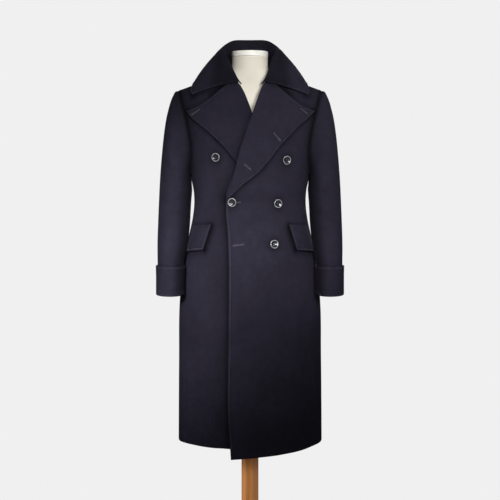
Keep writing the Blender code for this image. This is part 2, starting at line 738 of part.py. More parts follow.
# ------------------------------------------------------------------ build
def build():
    for old in list(bpy.data.objects):
        bpy.data.objects.remove(old, do_unlink=True)

    left_out, left_in = front_faces(EDGE_LEFT, OVERLAP_DROP, True)
    right_out, right_in = front_faces(EDGE_RIGHT, 0.0, False)
    back_out, back_in = back_faces()
    sleeve_out, sleeve_in = sleeve_faces(left_out, left_in, back_out, back_in)
    top_part, under_part = split_sleeve(sleeve_out, sleeve_in)
    cuff_out, cuff_in = cuff_faces(sleeve_out.shape[1])
    flap_out, flap_in = flap_faces()
    collar_seen, collar_hidden = collar_faces()

    for grids in ((left_out, left_in), (right_out, right_in), (back_out, back_in)):
        trim_panel(*grids)
    for grid in (back_out, back_in):
        seam_gap_columns(grid, 0, SEAM_GAP / 2.0)

    wall("front_left", left_out, left_in, NAVY_WOOL)
    wall("front_right", mirror(right_out), mirror(right_in), NAVY_WOOL)
    wall("back_left", back_out, back_in, NAVY_WOOL)
    wall("back_right", mirror(back_out), mirror(back_in), NAVY_WOOL)
    for side, turned in (("left", np.array), ("right", mirror)):
        wall("top_sleeve_" + side, turned(top_part[0]), turned(top_part[1]), NAVY_WOOL)
        wall("under_sleeve_" + side, turned(under_part[0]), turned(under_part[1]), NAVY_WOOL)
        tube_wall("cuff_" + side, turned(cuff_out), turned(cuff_in), NAVY_WOOL)
        wall("pocket_flap_" + side, turned(flap_out), turned(flap_in), NAVY_WOOL)
    lapel_out, lapel_in = lapel_faces(LAPEL_LEFT, True)
    wall("lapel_left", lapel_out, lapel_in, NAVY_WOOL)
    lapel_out, lapel_in = lapel_faces(LAPEL_RIGHT, False)
    wall("lapel_right", mirror(lapel_out), mirror(lapel_in), NAVY_WOOL)
    wall("collar", collar_seen, collar_hidden, NAVY_WOOL)
    for name, x, height in BUTTONS[1]:
        button(name, x, height)

    heights = [row[0] for row in TORSO[1]]
    extra = [0.855, 0.95, 1.05, 1.15, 1.25, 1.34]
    rings = [section_ring(TORSO, h, 32) for h in sorted(heights + extra)]
    stack("form_torso", rings, FORM_LINEN)
    cap = CAP_DIAMETER / 2.0
    cap_foot = CAP_TOP - CAP_THICK
    disc("neck_cap", ((cap, cap_foot), (cap, CAP_TOP - 0.003), (cap - 0.003, CAP_TOP)), 40,
         CAP_CREAM)
    across = POLE_WIDTH / 2.0 / math.cos(math.pi / 8.0)
    disc("pole", ((across, BASE_THICK + SEAM_GAP), (across, TORSO_FOOT - SEAM_GAP)), 8,
         POLE_WOOD, math.radians(17.0))
    reach = BASE_DIAMETER / 2.0
    disc("base", ((reach, 0.0), (reach, BASE_THICK - BASE_CHAMFER),
                  (reach - BASE_CHAMFER, BASE_THICK)), 48, BASE_WOOD)


build()
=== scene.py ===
"""Looks of a long double-breasted wool overcoat on a limbless dress form."""
import math

import bmesh
import bpy
import numpy as np
from mathutils import Matrix, Vector


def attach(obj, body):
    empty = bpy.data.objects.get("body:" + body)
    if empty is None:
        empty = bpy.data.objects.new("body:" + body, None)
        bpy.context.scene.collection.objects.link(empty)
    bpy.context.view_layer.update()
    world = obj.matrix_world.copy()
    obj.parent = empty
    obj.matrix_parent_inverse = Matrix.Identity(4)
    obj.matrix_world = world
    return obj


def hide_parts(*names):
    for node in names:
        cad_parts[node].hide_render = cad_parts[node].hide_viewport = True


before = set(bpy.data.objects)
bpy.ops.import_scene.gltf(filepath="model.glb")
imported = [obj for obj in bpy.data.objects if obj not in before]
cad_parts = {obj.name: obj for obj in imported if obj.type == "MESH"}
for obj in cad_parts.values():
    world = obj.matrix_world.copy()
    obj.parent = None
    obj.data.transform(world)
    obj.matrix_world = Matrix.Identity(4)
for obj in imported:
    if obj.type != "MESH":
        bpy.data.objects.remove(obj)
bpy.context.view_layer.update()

# ------------------------------------------------------------------ driving sizes, metres
CLOTH = 0.003
SEAM_GAP = 0.0003
AIR = 0.0012
LAYER = CLOTH + AIR

SHOULDER_X = 0.233
SHOULDER_Z = 1.470
SHOULDER_SLOPE = 0.36
NECK_RISE = 0.030
NECK_RISE_WIDTH = 0.080
SHOULDER_ROUND = 0.170
FULLNESS = 0.85
ARMHOLE_X = 0.228
UNDERARM_Z = 1.185
NECK_HALF_WIDTH = 0.078
NECK_BACK = 0.072
COLLAR_SET = 0.009
HEM_Z = 0.335
OVERLAP_DROP = 0.032
CUFF_TOP = 0.913
CUFF_FOOT = 0.824
BUTTON_DIAMETER = 0.0285
CAP_TOP = 1.595
CAP_THICK = 0.018
CAP_DIAMETER = 0.116
POLE_WIDTH = 0.054
POLE_TURN = math.radians(17.0)
TORSO_FOOT = 0.800
BASE_DIAMETER = 0.400
BASE_THICK = 0.028

STITCH_IN = 0.0075       # edge stitching runs this far inside a free edge
STITCH_LONG = 0.0030
STITCH_PITCH = 0.0044

BODY = (
    ("height", "half_width", "front", "back"),
    (
        (0.300, 0.2342, 0.1600, 0.1510),
        (0.600, 0.2315, 0.1570, 0.1500),
        (0.786, 0.2285, 0.1520, 0.1490),
        (0.870, 0.2215, 0.1480, 0.1470),
        (0.940, 0.2105, 0.1430, 0.1410),
        (1.007, 0.1970, 0.1340, 0.1270),
        (1.060, 0.1855, 0.1285, 0.1150),
        (1.110, 0.1800, 0.1265, 0.1080),
        (1.150, 0.1818, 0.1282, 0.1108),
        (1.185, 0.1890, 0.1300, 0.1140),
        (1.300, 0.2130, 0.1330, 0.1240),
        (1.400, 0.2300, 0.1270, 0.1220),
        (1.470, 0.2450, 0.1180, 0.1170),
        (1.560, 0.2550, 0.1120, 0.1120),
    ),
)
ARMHOLE = (
    ("height", "out"),
    (
        (1.185, 0.1890),
        (1.200, 0.1880),
        (1.230, 0.1870),
        (1.267, 0.1862),
        (1.311, 0.1895),
        (1.354, 0.1968),
        (1.390, 0.2060),
        (1.423, 0.2150),
        (1.450, 0.2215),
        (1.472, 0.2280),
    ),
)
EDGE_LEFT = (
    ("height", "inward"),
    (
        (0.300, -0.0600),
        (0.450, -0.0685),
        (0.700, -0.0665),
        (1.000, -0.0680),
        (1.110, -0.0745),
        (1.140, -0.0720),
        (1.222, -0.0450),
        (1.290, -0.0283),
        (1.415, 0.0145),
        (1.488, 0.0430),
        (1.538, 0.0780),
    ),
)
EDGE_RIGHT = (
    ("height", "inward"),
    (
        (0.300, -0.0620),
        (0.450, -0.0665),
        (0.700, -0.0665),
        (1.000, -0.0680),
        (1.110, -0.0700),
        (1.140, -0.0680),
        (1.222, -0.0480),
        (1.290, -0.0320),
        (1.415, 0.0000),
        (1.488, 0.0340),
        (1.538, 0.0780),
    ),
)
LAPEL_LEFT = (
    ("along", "roll_x", "roll_z", "free_x", "free_z"),
    (
        (0.00, -0.0735, 1.127, -0.0600, 1.132),
        (0.15, -0.0600, 1.172, -0.0190, 1.173),
        (0.30, -0.0450, 1.222, 0.0265, 1.211),
        (0.50, -0.0283, 1.290, 0.0935, 1.292),
        (0.70, -0.0060, 1.352, 0.1540, 1.356),
        (0.85, 0.0145, 1.415, 0.1830, 1.382),
        (1.00, 0.0430, 1.487, 0.2020, 1.402),
    ),
)
LAPEL_RIGHT = (
    ("along", "roll_x", "roll_z", "free_x", "free_z"),
    (
        (0.00, -0.0665, 1.150, -0.0480, 1.154),
        (0.15, -0.0590, 1.180, -0.0150, 1.178),
        (0.30, -0.0480, 1.222, 0.0200, 1.214),
        (0.50, -0.0320, 1.290, 0.0800, 1.288),
        (0.70, -0.0160, 1.352, 0.1450, 1.350),
        (0.85, 0.0000, 1.415, 0.1800, 1.378),
        (1.00, 0.0340, 1.487, 0.1990, 1.402),
    ),
)
LAPEL_TOP = (
    ("share", "rise"),
    (
        (0.00, 0.000),
        (0.22, 0.016),
        (0.45, 0.006),
        (0.70, -0.004),
        (1.00, 0.000),
    ),
)
COLLAR = (
    ("around", "base_x", "base_y", "base_z", "fold_x", "fold_y", "fold_z",
     "edge_x", "edge_y", "edge_z"),
    (
        (0.00, 0.000, 0.0690, 1.5500, 0.000, 0.088, 1.641, 0.000, 0.110, 1.492),
        (0.20, 0.042, 0.0590, 1.5490, 0.050, 0.077, 1.639, 0.085, 0.089, 1.478),
        (0.40, 0.065, 0.0340, 1.5450, 0.077, 0.048, 1.624, 0.148, 0.058, 1.477),
        (0.58, 0.074, 0.0000, 1.5425, 0.088, 0.007, 1.607, 0.178, 0.004, 1.497),
        (0.76, 0.064, -0.0430, 1.5260, 0.077, -0.042, 1.582, 0.189, -0.040, 1.474),
        (0.88, 0.050, -0.0700, 1.5080, 0.066, -0.074, 1.545, 0.190, -0.052, 1.464),
        (1.00, 0.035, -0.0860, 1.4870, 0.043, -0.106, 1.4935, 0.184, -0.062, 1.455),
    ),
)
SLEEVE = (
    ("along", "outer_x", "outer_z", "inner_x", "inner_z", "front_y", "back_y", "share"),
    (
        (0.00, 0.2280, 1.4718, 0.1890, 1.1853, -0.071, 0.071, 1.00),
        (0.04, 0.2400, 1.4660, 0.1905, 1.1885, -0.074, 0.073, 0.80),
        (0.09, 0.2525, 1.4450, 0.1900, 1.1820, -0.076, 0.074, 0.50),
        (0.15, 0.2645, 1.4040, 0.1885, 1.1680, -0.077, 0.074, 0.20),
        (0.22, 0.2715, 1.3700, 0.1870, 1.1560, -0.078, 0.073, 0.00),
        (0.31, 0.2785, 1.3200, 0.1880, 1.1380, -0.079, 0.071, 0.00),
        (0.41, 0.2845, 1.2600, 0.1898, 1.1150, -0.080, 0.067, 0.00),
        (0.52, 0.2900, 1.1880, 0.1915, 1.0850, -0.082, 0.060, 0.00),
        (0.62, 0.2935, 1.1140, 0.1932, 1.0490, -0.086, 0.050, 0.00),
        (0.72, 0.2955, 1.0450, 0.1965, 1.0080, -0.098, 0.030, 0.00),
        (0.81, 0.2965, 0.9810, 0.2035, 0.9610, -0.112, 0.010, 0.00),
        (0.89, 0.2950, 0.9190, 0.2125, 0.9100, -0.127, -0.012, 0.00),
        (0.95, 0.2938, 0.8720, 0.2140, 0.8670, -0.139, -0.027, 0.00),
        (1.00, 0.2932, 0.8290, 0.2150, 0.8280, -0.149, -0.038, 0.00),
    ),
)
TORSO = (
    ("height", "half_width", "front", "back"),
    (
        (0.800, 0.1450, 0.0930, 0.0930),
        (0.815, 0.1540, 0.1000, 0.1010),
        (0.900, 0.1620, 0.1060, 0.1130),
        (1.000, 0.1500, 0.0980, 0.0950),
        (1.100, 0.1380, 0.0930, 0.0800),
        (1.200, 0.1560, 0.1040, 0.0900),
        (1.300, 0.1680, 0.1080, 0.0980),
        (1.380, 0.1800, 0.0980, 0.0950),
        (1.430, 0.1900, 0.0820, 0.0840),
        (1.455, 0.1880, 0.0700, 0.0740),
        (1.475, 0.1680, 0.0610, 0.0640),
        (1.492, 0.1300, 0.0560, 0.0570),
        (1.508, 0.0940, 0.0545, 0.0545),
        (1.530, 0.0640, 0.0540, 0.0540),
        (1.555, 0.0580, 0.0550, 0.0550),
        (1.5765, 0.0572, 0.0572, 0.0572),
    ),
)
FLAP = (
    ("down", "near_x", "near_z", "far_x", "far_z"),
    (
        (0.0, 0.1215, 1.0460, 0.1760, 1.0420),
        (1.0, 0.1425, 0.9630, 0.2010, 0.9530),
    ),
)
BUTTONS = (
    ("name", "x", "height", "turn"),
    (
        ("button_upper_right", -0.1065, 1.257, 0.35),
        ("button_upper_left", 0.1150, 1.248, 0.80),
        ("button_fastened", -0.0550, 1.116, 0.10),
        ("button_waist_left", 0.0860, 1.112, 0.55),
        ("button_lower_left", 0.0750, 0.984, 1.15),
    ),
)

# Soft troughs (minus) and ridges (plus) in the cloth: from one point to another, given as
# distance round from centre front or back and height (two pairs), then half width, depth
# and sideways bow.
FRONT_LEFT_FOLDS = (
    (0.115, 0.930, 0.130, 0.300, 0.034, 0.0022, 0.006),
    (0.190, 0.880, 0.215, 0.300, 0.030, -0.0030, -0.008),
    (0.262, 0.900, 0.285, 0.300, 0.028, 0.0032, 0.005),
    (0.030, 0.700, 0.020, 0.300, 0.040, -0.0016, 0.006),
    (-0.030, 1.085, 0.090, 1.060, 0.010, -0.0007, 0.008),
    (-0.020, 1.120, 0.140, 1.150, 0.012, -0.0008, -0.006),
    (0.215, 1.150, 0.300, 1.085, 0.014, -0.0016, 0.010),
    (0.225, 1.110, 0.305, 1.060, 0.010, 0.0011, -0.006),
    (0.150, 1.330, 0.215, 1.220, 0.016, -0.0014, 0.012),
)
FRONT_RIGHT_FOLDS = (
    (0.079, 1.080, 0.080, 0.300, 0.010, -0.0016, 0.000),
    (0.106, 1.000, 0.112, 0.300, 0.022, 0.0020, 0.004),
    (0.175, 0.900, 0.190, 0.300, 0.030, -0.0026, 0.008),
    (0.258, 0.870, 0.275, 0.300, 0.030, 0.0030, -0.006),
    (0.090, 1.105, 0.190, 1.120, 0.012, -0.0009, 0.006),
    (0.205, 1.160, 0.300, 1.095, 0.013, -0.0017, -0.008),
    (0.230, 1.100, 0.300, 1.060, 0.011, 0.0010, 0.006),
    (0.155, 1.320, 0.220, 1.225, 0.015, -0.0013, -0.010),
)
BACK_LEFT_FOLDS = (
    (0.020, 0.960, 0.022, 0.300, 0.020, -0.0030, 0.002),
    (0.085, 0.940, 0.105, 0.300, 0.032, 0.0036, 0.006),
    (0.170, 0.960, 0.185, 0.300, 0.030, -0.0034, -0.006),
    (0.245, 0.900, 0.265, 0.300, 0.028, 0.0030, 0.004),
    (0.030, 1.130, 0.150, 1.095, 0.012, -0.0018, 0.010),
    (0.060, 1.085, 0.190, 1.060, 0.010, -0.0013, -0.008),
    (0.120, 1.400, 0.205, 1.250, 0.020, -0.0022, 0.014),
    (0.205, 1.150, 0.300, 1.080, 0.014, -0.0018, -0.010),
)
BACK_RIGHT_FOLDS = (
    (0.018, 0.940, 0.024, 0.300, 0.022, -0.0026, -0.002),
    (0.095, 0.960, 0.115, 0.300, 0.030, 0.0032, -0.006),
    (0.180, 0.930, 0.200, 0.300, 0.032, -0.0036, 0.006),
    (0.252, 0.880, 0.268, 0.300, 0.026, 0.0027, -0.004),
    (0.020, 1.115, 0.160, 1.105, 0.012, -0.0016, -0.008),
    (0.070, 1.150, 0.200, 1.070, 0.012, -0.0015, 0.012),
    (0.125, 1.380, 0.200, 1.240, 0.018, -0.0024, -0.012),
    (0.215, 1.140, 0.305, 1.090, 0.013, -0.0016, 0.008),
)
# On sleeves the first column is the angle round from the outside (radians, plus is front)
# times the sleeve's mean radius.
SLEEVE_RADIUS = 0.058
SLEEVE_LEFT_FOLDS = (
    (0.060, 1.330, 0.110, 1.235, 0.013, -0.0030, 0.010),
    (0.030, 1.250, 0.120, 1.180, 0.013, -0.0016, -0.008),
    (0.050, 1.115, 0.135, 1.150, 0.013, -0.0026, 0.010),
    (0.040, 1.070, 0.140, 1.085, 0.012, -0.0028, -0.008),
    (0.060, 1.020, 0.140, 1.015, 0.012, -0.0018, 0.006),
    (0.010, 0.990, 0.090, 0.950, 0.014, -0.0012, 0.006),
    (-0.070, 1.320, -0.120, 1.220, 0.014, -0.0028, -0.010),
    (-0.040, 1.080, -0.130, 1.120, 0.013, -0.0018, 0.008),
)
SLEEVE_RIGHT_FOLDS = (
    (0.065, 1.320, 0.112, 1.225, 0.013, -0.0028, -0.010),
    (0.040, 1.240, 0.125, 1.170, 0.012, -0.0017, 0.008),
    (0.045, 1.105, 0.135, 1.140, 0.013, -0.0028, -0.008),
    (0.055, 1.055, 0.140, 1.075, 0.012, -0.0024, 0.008),
    (0.020, 1.010, 0.110, 0.985, 0.013, -0.0014, -0.006),
    (-0.060, 1.330, -0.115, 1.230, 0.014, -0.0030, 0.010),
    (-0.050, 1.070, -0.135, 1.105, 0.013, -0.0020, -0.008),
)


# ------------------------------------------------------------------ curves and surfaces
def curve(table, name, at):
    """Smooth curve of a named column through the table's rows, read at given places."""
    columns, rows = table
    rows = np.array(rows, dtype=float)
    spots = rows[:, 0]
    values = rows[:, columns.index(name)]
    slopes = np.gradient(values, spots)
    at = np.clip(np.asarray(at, dtype=float), spots[0], spots[-1])
    i = np.clip(np.searchsorted(spots, at, side="right") - 1, 0, len(spots) - 2)
    span = spots[i + 1] - spots[i]
    t = (at - spots[i]) / span
    rise = (2 * t**3 - 3 * t**2 + 1) * values[i] + (3 * t**2 - 2 * t**3) * values[i + 1]
    lean = (t**3 - 2 * t**2 + t) * slopes[i] + (t**3 - t**2) * slopes[i + 1]
    return rise + lean * span


def step(low, high, at):
    """Soft step from 0 at low to 1 at high."""
    t = np.clip((np.asarray(at, dtype=float) - low) / (high - low), 0.0, 1.0)
    return t * t * (3.0 - 2.0 * t)


def shoulder_line(x):
    x = np.abs(x)
    line = SHOULDER_Z + SHOULDER_SLOPE * (SHOULDER_X - x)
    return line + NECK_RISE * np.exp(-((x / NECK_RISE_WIDTH) ** 2))


def body_surface(face, turn, height):
    """Outside of the coat body; face is -1 for the front and +1 for the back."""
    x = curve(BODY, "half_width", height) * np.sin(turn)
    depth = curve(BODY, "front" if face < 0 else "back", height)
    below = np.clip((shoulder_line(x) - height) / SHOULDER_ROUND, 0.0, 1.0)
    rounding = np.sqrt(1.0 - (1.0 - below) ** 2)
    y = face * depth * np.abs(np.cos(turn)) ** FULLNESS * rounding
    return np.stack([x, y, height + 0.0 * x], axis=-1)


def turn_at(x, height):
    return np.arcsin(np.clip(x / curve(BODY, "half_width", height), -1.0, 1.0))


def unit(vectors):
    return vectors / (np.linalg.norm(vectors, axis=-1, keepdims=True) + 1e-12)


def grid_normals(grid, outward, wraps=False):
    """Unit normals of a grid of points, all on the side of the outward vector."""
    if wraps:
        wide = np.concatenate([grid[:, -1:], grid, grid[:, :1]], axis=1)
        across = (wide[:, 2:] - wide[:, :-2]) / 2.0
    else:
        across = np.gradient(grid, axis=1)
    normal = unit(np.cross(np.gradient(grid, axis=0), across))
    i, j = grid.shape[0] // 2, grid.shape[1] // 2
    if wraps:
        outward = grid[i, j] - grid[i].mean(axis=0)
    return normal if np.dot(normal[i, j], outward) > 0 else -normal


def flatten_normals(normal, where, axis):
    normal[where + (axis,)] = 0.0
    normal /= np.linalg.norm(normal, axis=-1, keepdims=True)


def fold_lift(folds, around, height):
    """Sum of the soft troughs and ridges at places on the cloth."""
    lift = np.zeros(np.broadcast(around, height).shape)
    for round_a, height_a, round_b, height_b, wide, depth, bow in folds:
        along_u, along_v = round_b - round_a, height_b - height_a
        length = math.hypot(along_u, along_v)
        along_u, along_v = along_u / length, along_v / length
        du, dv = around - round_a, height - height_a
        t = (du * along_u + dv * along_v) / length
        off = dv * along_u - du * along_v - bow * np.sin(np.clip(t, 0.0, 1.0) * math.pi)
        ends = step(-0.12, 0.30, t) * (1.0 - step(0.80, 1.15, t))
        if height_b < 0.31:
            ends = step(-0.05, 0.55, t)
        lift += depth * ends * np.exp(-((off / wide) ** 2))
    return lift


# ------------------------------------------------------------------ cloth grids
FINE = (0.0, 0.0005, 0.0012, 0.0022, 0.0036, 0.0052, 0.0064, 0.0075, 0.0086, 0.0100, 0.0125)


def spaced(length, count, low_fine=True, high_fine=True):
    """Shares from 0 to 1 with close steps by the fine ends."""
    fine = np.array(FINE) / length
    low = fine if low_fine else np.array([0.0])
    high = 1.0 - fine[::-1] if high_fine else np.array([1.0])
    middle = np.linspace(low[-1], high[0], count)[1:-1]
    return np.concatenate([low, middle, high])


def edge_distance(grid, side):
    """Distance over the cloth from one side of a grid."""
    axis = 1 if side in ("first", "last") else 0
    steps = np.linalg.norm(np.diff(grid, axis=axis), axis=-1)
    if side in ("last", "top"):
        steps = np.flip(steps, axis=axis)
    walked = np.cumsum(steps, axis=axis)
    pad = [(0, 0), (0, 0)]
    pad[axis] = (1, 0)
    walked = np.pad(walked, pad)
    if side in ("last", "top"):
        walked = np.flip(walked, axis=axis)
    return walked


def edge_lift(grid, finish):
    """Rounding, swell and stitch groove of free edges, and the dip of sewn seams."""
    lift = np.zeros(grid.shape[:2])
    for side, kind in finish.items():
        away = edge_distance(grid, side)
        if kind == "seam":
            lift -= 0.0013 * np.exp(-((away / 0.0022) ** 2))
            lift += 0.0004 * np.exp(-(((away - 0.0060) / 0.0030) ** 2))
        if kind in ("free", "swelled"):
            wide = 0.0090 if kind == "swelled" else STITCH_IN
            high = 0.0016 if kind == "swelled" else 0.0009
            lift -= 0.0013 * np.exp(-((away / 0.0011) ** 2))
            lift += high * np.exp(-(((away - wide * 0.48) / (wide * 0.36)) ** 2))
            lift -= 0.0009 * np.exp(-(((away - wide) / 0.0011) ** 2))
        if kind == "plain":
            lift -= 0.0010 * np.exp(-((away / 0.0012) ** 2))
    return lift


def side_line(grid, side):
    """The points along one side of a grid."""
    return {"first": grid[:, 0], "last": grid[:, -1], "bottom": grid[0], "top": grid[-1]}[side]


def shade_near_lines(grid, *lines):
    """Painted shade on the wool: 1 in the open, darker near each (line of points, reach, depth)."""
    points = grid.reshape(-1, 3)
    share = np.ones(len(points))
    for line, reach, depth in lines:
        away = np.full(len(points), 9.0)
        for spot in line:
            away = np.minimum(away, np.linalg.norm(points - spot, axis=1))
        share *= 1.0 - depth * np.exp(-((away / reach) ** 2))
    return share.reshape(grid.shape[:2])


def edge_wear_and_painted_light(grid, *sides, wide=STITCH_IN, gain=0.26):
    """Free edges are painted a little lighter, partly as rub wear and partly as painted highlight, up
    to a painted shade in the groove of their stitching.
    """
    share = np.ones(grid.shape[:2])
    for side in sides:
        away = edge_distance(grid, side)
        share *= 1.0 + gain * step(0.0, 0.0015, away) * (1.0 - step(wide * 0.75, wide, away))
        share *= 1.0 - 0.30 * np.exp(-(((away - wide - 0.0008) / 0.0013) ** 2))
    return share


def cloth_piece(name, seen, nodes, cut, wraps=False, thick=CLOTH, pile=None):
    """A sheet of cloth through a grid of seen points, made into a wall of its thickness."""
    rows, cols = seen.shape[:2]
    across = cols if wraps else cols - 1
    built = bmesh.new()
    built.loops.layers.uv.new("weave")
    bmesh.ops.create_grid(built, x_segments=across, y_segments=rows - 1, size=0.5,
                          calc_uvs=True)
    walked_u = edge_distance(seen, "first").mean(axis=0)
    walked_v = edge_distance(seen, "bottom").mean(axis=1)
    if wraps:
        last = np.linalg.norm(seen[:, 0] - seen[:, -1], axis=-1).mean()
        walked_u = np.append(walked_u, walked_u[-1] + last)
    layer = built.loops.layers.uv.active
    for face in built.faces:
        for loop in face.loops:
            j = round((loop.vert.co.x + 0.5) * across)
            i = round((loop.vert.co.y + 0.5) * (rows - 1))
            loop[layer].uv = (walked_u[j], walked_v[i])
    # Painted shade: an attribute per point that darkens the wool's colour, 1 where nothing is painted.
    painted_shade_layer = built.verts.layers.float.new("pile")
    for vert in built.verts:
        j = round((vert.co.x + 0.5) * across) % cols
        i = round((vert.co.y + 0.5) * (rows - 1))
        vert.co = seen[i, j]
        vert[painted_shade_layer] = 1.0 if pile is None else float(pile[i, j])
    if wraps:
        bmesh.ops.remove_doubles(built, verts=built.verts, dist=1e-6)
    normal = grid_normals(seen, cut["outward"], wraps)
    built.faces.ensure_lookup_table()
    built.normal_update()
    middle = built.faces[len(built.faces) // 2]
    nearest = np.argmin(np.linalg.norm(seen - np.array(middle.calc_center_median()), axis=-1))
    if np.dot(normal.reshape(-1, 3)[nearest], middle.normal) < 0.0:
        bmesh.ops.reverse_faces(built, faces=built.faces)
    made = add_object(name, built, "navy_wool", nodes)
    wall = made.modifiers.new("wall", "SOLIDIFY")
    wall.thickness = thick
    wall.offset = -1.0
    wall.use_rim = True
    return made


def add_object(name, built, slot, nodes):
    """Turns a finished bmesh into a piece that rides on the model and replaces its nodes."""
    mesh = bpy.data.meshes.new(name)
    built.to_mesh(mesh)
    built.free()
    mesh.polygons.foreach_set("use_smooth", [True] * len(mesh.polygons))
    made = bpy.data.objects.new(name, mesh)
    bpy.context.scene.collection.objects.link(made)
    made.data.materials.append(LOOKS[slot])
    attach(made, "root")
    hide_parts(*nodes)
    return made


def mirror(points):
    turned = np.array(points)
    turned[..., 0] *= -1.0
    return turned


# ------------------------------------------------------------------ fronts and backs
LOWER_ROWS = 118
ARM_ROWS = 52
FRONT_COLUMNS = 60
BACK_COLUMNS = 48


def armhole_heights():
    share = 0.5 - 0.5 * np.cos(np.linspace(0.0, math.pi, ARM_ROWS + 1))
    top = float(shoulder_line(ARMHOLE_X))
    return UNDERARM_Z + (top - UNDERARM_Z) * share


def lower_heights():
    return HEM_Z + (UNDERARM_Z - HEM_Z) * spaced(UNDERARM_Z - HEM_Z, LOWER_ROWS, True, False)[:-1]


def back_neck(x):
    share = np.clip(np.abs(x) / NECK_HALF_WIDTH, 0.0, 1.0)
    y = NECK_BACK * np.sqrt(1.0 - share**2)
    depth = curve(BODY, "back", 1.53) * np.cos(turn_at(x, 1.53)) ** FULLNESS
    drop = SHOULDER_ROUND * (1.0 - np.sqrt(1.0 - np.clip(y / depth, 0.0, 1.0) ** 2))
    return shoulder_line(x) - drop


def panel_grid(face, inner_x, inner_z, outer_x, outer_z, top_line, share):
    """Grid of surface points from the inner edge (first column) to the side (last)."""
    share = share[None, :]
    turn_in = turn_at(inner_x, inner_z)[:, None]
    turn_out = turn_at(outer_x, outer_z)[:, None]
    turn = turn_in + (turn_out - turn_in) * share
    level = inner_z[:, None] + (outer_z - inner_z)[:, None] * share
    height = level
    follow = step(1.10, 1.47, outer_z)[:, None]
    for _ in range(3):
        x = curve(BODY, "half_width", height) * np.sin(turn)
        ends = top_line(x[:, :1]) + (top_line(x[:, -1:]) - top_line(x[:, :1])) * share
        height = level + follow * (top_line(x) - ends)
    return body_surface(face, turn, height), turn


def front_lift(x, height, far_edge):
    under_lapel = step(1.121, 1.146, height) * (1.0 - step(1.42, 1.48, height))
    layers = 1.0 + 1.25 * under_lapel
    covered = 1.0 - step(far_edge + 0.014, far_edge + 0.070, x)
    fade = 1.0 - step(1.42, 1.49, height)
    return LAYER * layers * covered * fade


def far_edge(height):
    return -curve(EDGE_RIGHT, "inward", height)


def side_lines(inner_top):
    """Heights and reach of a panel's outer edge, and the matching inner heights."""
    lower, upper = lower_heights(), armhole_heights()
    outer_z = np.concatenate([lower, upper])
    outer_x = np.concatenate([curve(BODY, "half_width", lower), curve(ARMHOLE, "out", upper)])
    outer_x[len(lower)] = curve(BODY, "half_width", UNDERARM_Z)
    share = (upper - UNDERARM_Z) / (upper[-1] - UNDERARM_Z)
    inner_z = np.concatenate([lower, UNDERARM_Z + (inner_top - UNDERARM_Z) * share])
    outer_z = outer_z + 0.006 * (1.0 - step(HEM_Z, 0.60, outer_z))
    return outer_x, outer_z, inner_z, len(lower)


def front_points(edge_table, drop, lapping, folds):
    """Seen points of a front panel, on the wearer's left side, with its first arm row."""
    outer_x, outer_z, inner_z, first = side_lines(float(shoulder_line(NECK_HALF_WIDTH)))
    inner_z = inner_z - drop * (1.0 - step(HEM_Z, 0.66, inner_z))
    inner_x = curve(edge_table, "inward", inner_z)
    share = spaced(0.38, FRONT_COLUMNS)
    plain, turn = panel_grid(-1, inner_x, inner_z, outer_x, outer_z, shoulder_line, share)
    normal = grid_normals(plain, (0.0, -1.0, 0.0))
    flatten_normals(normal, (slice(0, first + 1), -1), 1)
    flatten_normals(normal, (-1, slice(None)), 1)
    x, z = plain[..., 0], plain[..., 2]
    lift = front_lift(x, z, far_edge(z)) if lapping else np.zeros(x.shape)
    fixed = step(0.0, 0.03, edge_distance(plain, "last"))
    lift = lift + fold_lift(folds, turn * 0.21, z) * fixed
    seams = edge_lift(plain, {"last": "seam", "top": "seam", "bottom": "plain"})
    kind = "swelled" if lapping else "free"
    free = edge_lift(plain, {"first": kind}) * (1.0 - step(1.10, 1.14, z))
    return plain + normal * (lift + seams + free)[..., None], first


def back_points(folds):
    outer_x, outer_z, inner_z, first = side_lines(float(back_neck(0.0)))
    share = spaced(0.33, BACK_COLUMNS)
    plain, turn = panel_grid(1, 0.0 * inner_z, inner_z, outer_x, outer_z, back_neck, share)
    normal = grid_normals(plain, (0.0, 1.0, 0.0))
    flatten_normals(normal, (slice(0, first + 1), -1), 1)
    flatten_normals(normal, (slice(None), 0), 0)
    on_seam = plain[-1, :, 0] >= NECK_HALF_WIDTH - 0.004
    normal[-1, on_seam, 1] = 0.0
    normal = unit(normal)
    fixed = step(0.0, 0.03, edge_distance(plain, "last"))
    lift = fold_lift(folds, turn * 0.21, plain[..., 2]) * fixed
    lift = lift + edge_lift(plain, {"first": "seam", "last": "seam", "top": "seam",
                                    "bottom": "plain"})
    return plain + normal * lift[..., None], first


def draw_in(grid, side, gap):
    """Draws one edge of a grid back by a gap."""
    if side in ("first", "last"):
        edge, near = (0, 1) if side == "first" else (-1, -2)
        grid[:, edge] += unit(grid[:, near] - grid[:, edge]) * gap
    else:
        edge, near = (0, 1) if side == "bottom" else (-1, -2)
        grid[edge] += unit(grid[near] - grid[edge]) * gap


# ------------------------------------------------------------------ sleeves and cuffs
CUFF_COLUMNS = 96
SLEEVE_ROWS = 120


def sleeve_ring(along, angle):
    outer = np.array([curve(SLEEVE, "outer_x", along), 0.0, curve(SLEEVE, "outer_z", along)])
    inner = np.array([curve(SLEEVE, "inner_x", along), 0.0, curve(SLEEVE, "inner_z", along)])
    front = float(curve(SLEEVE, "front_y", along))
    back = float(curve(SLEEVE, "back_y", along))
    middle = (outer + inner) / 2.0
    middle[1] = (front + back) / 2.0
    reach = (outer - inner) / 2.0
    depth = np.array([0.0, (front - back) / 2.0, 0.0])
    return middle + np.cos(angle)[:, None] * reach + np.sin(angle)[:, None] * depth


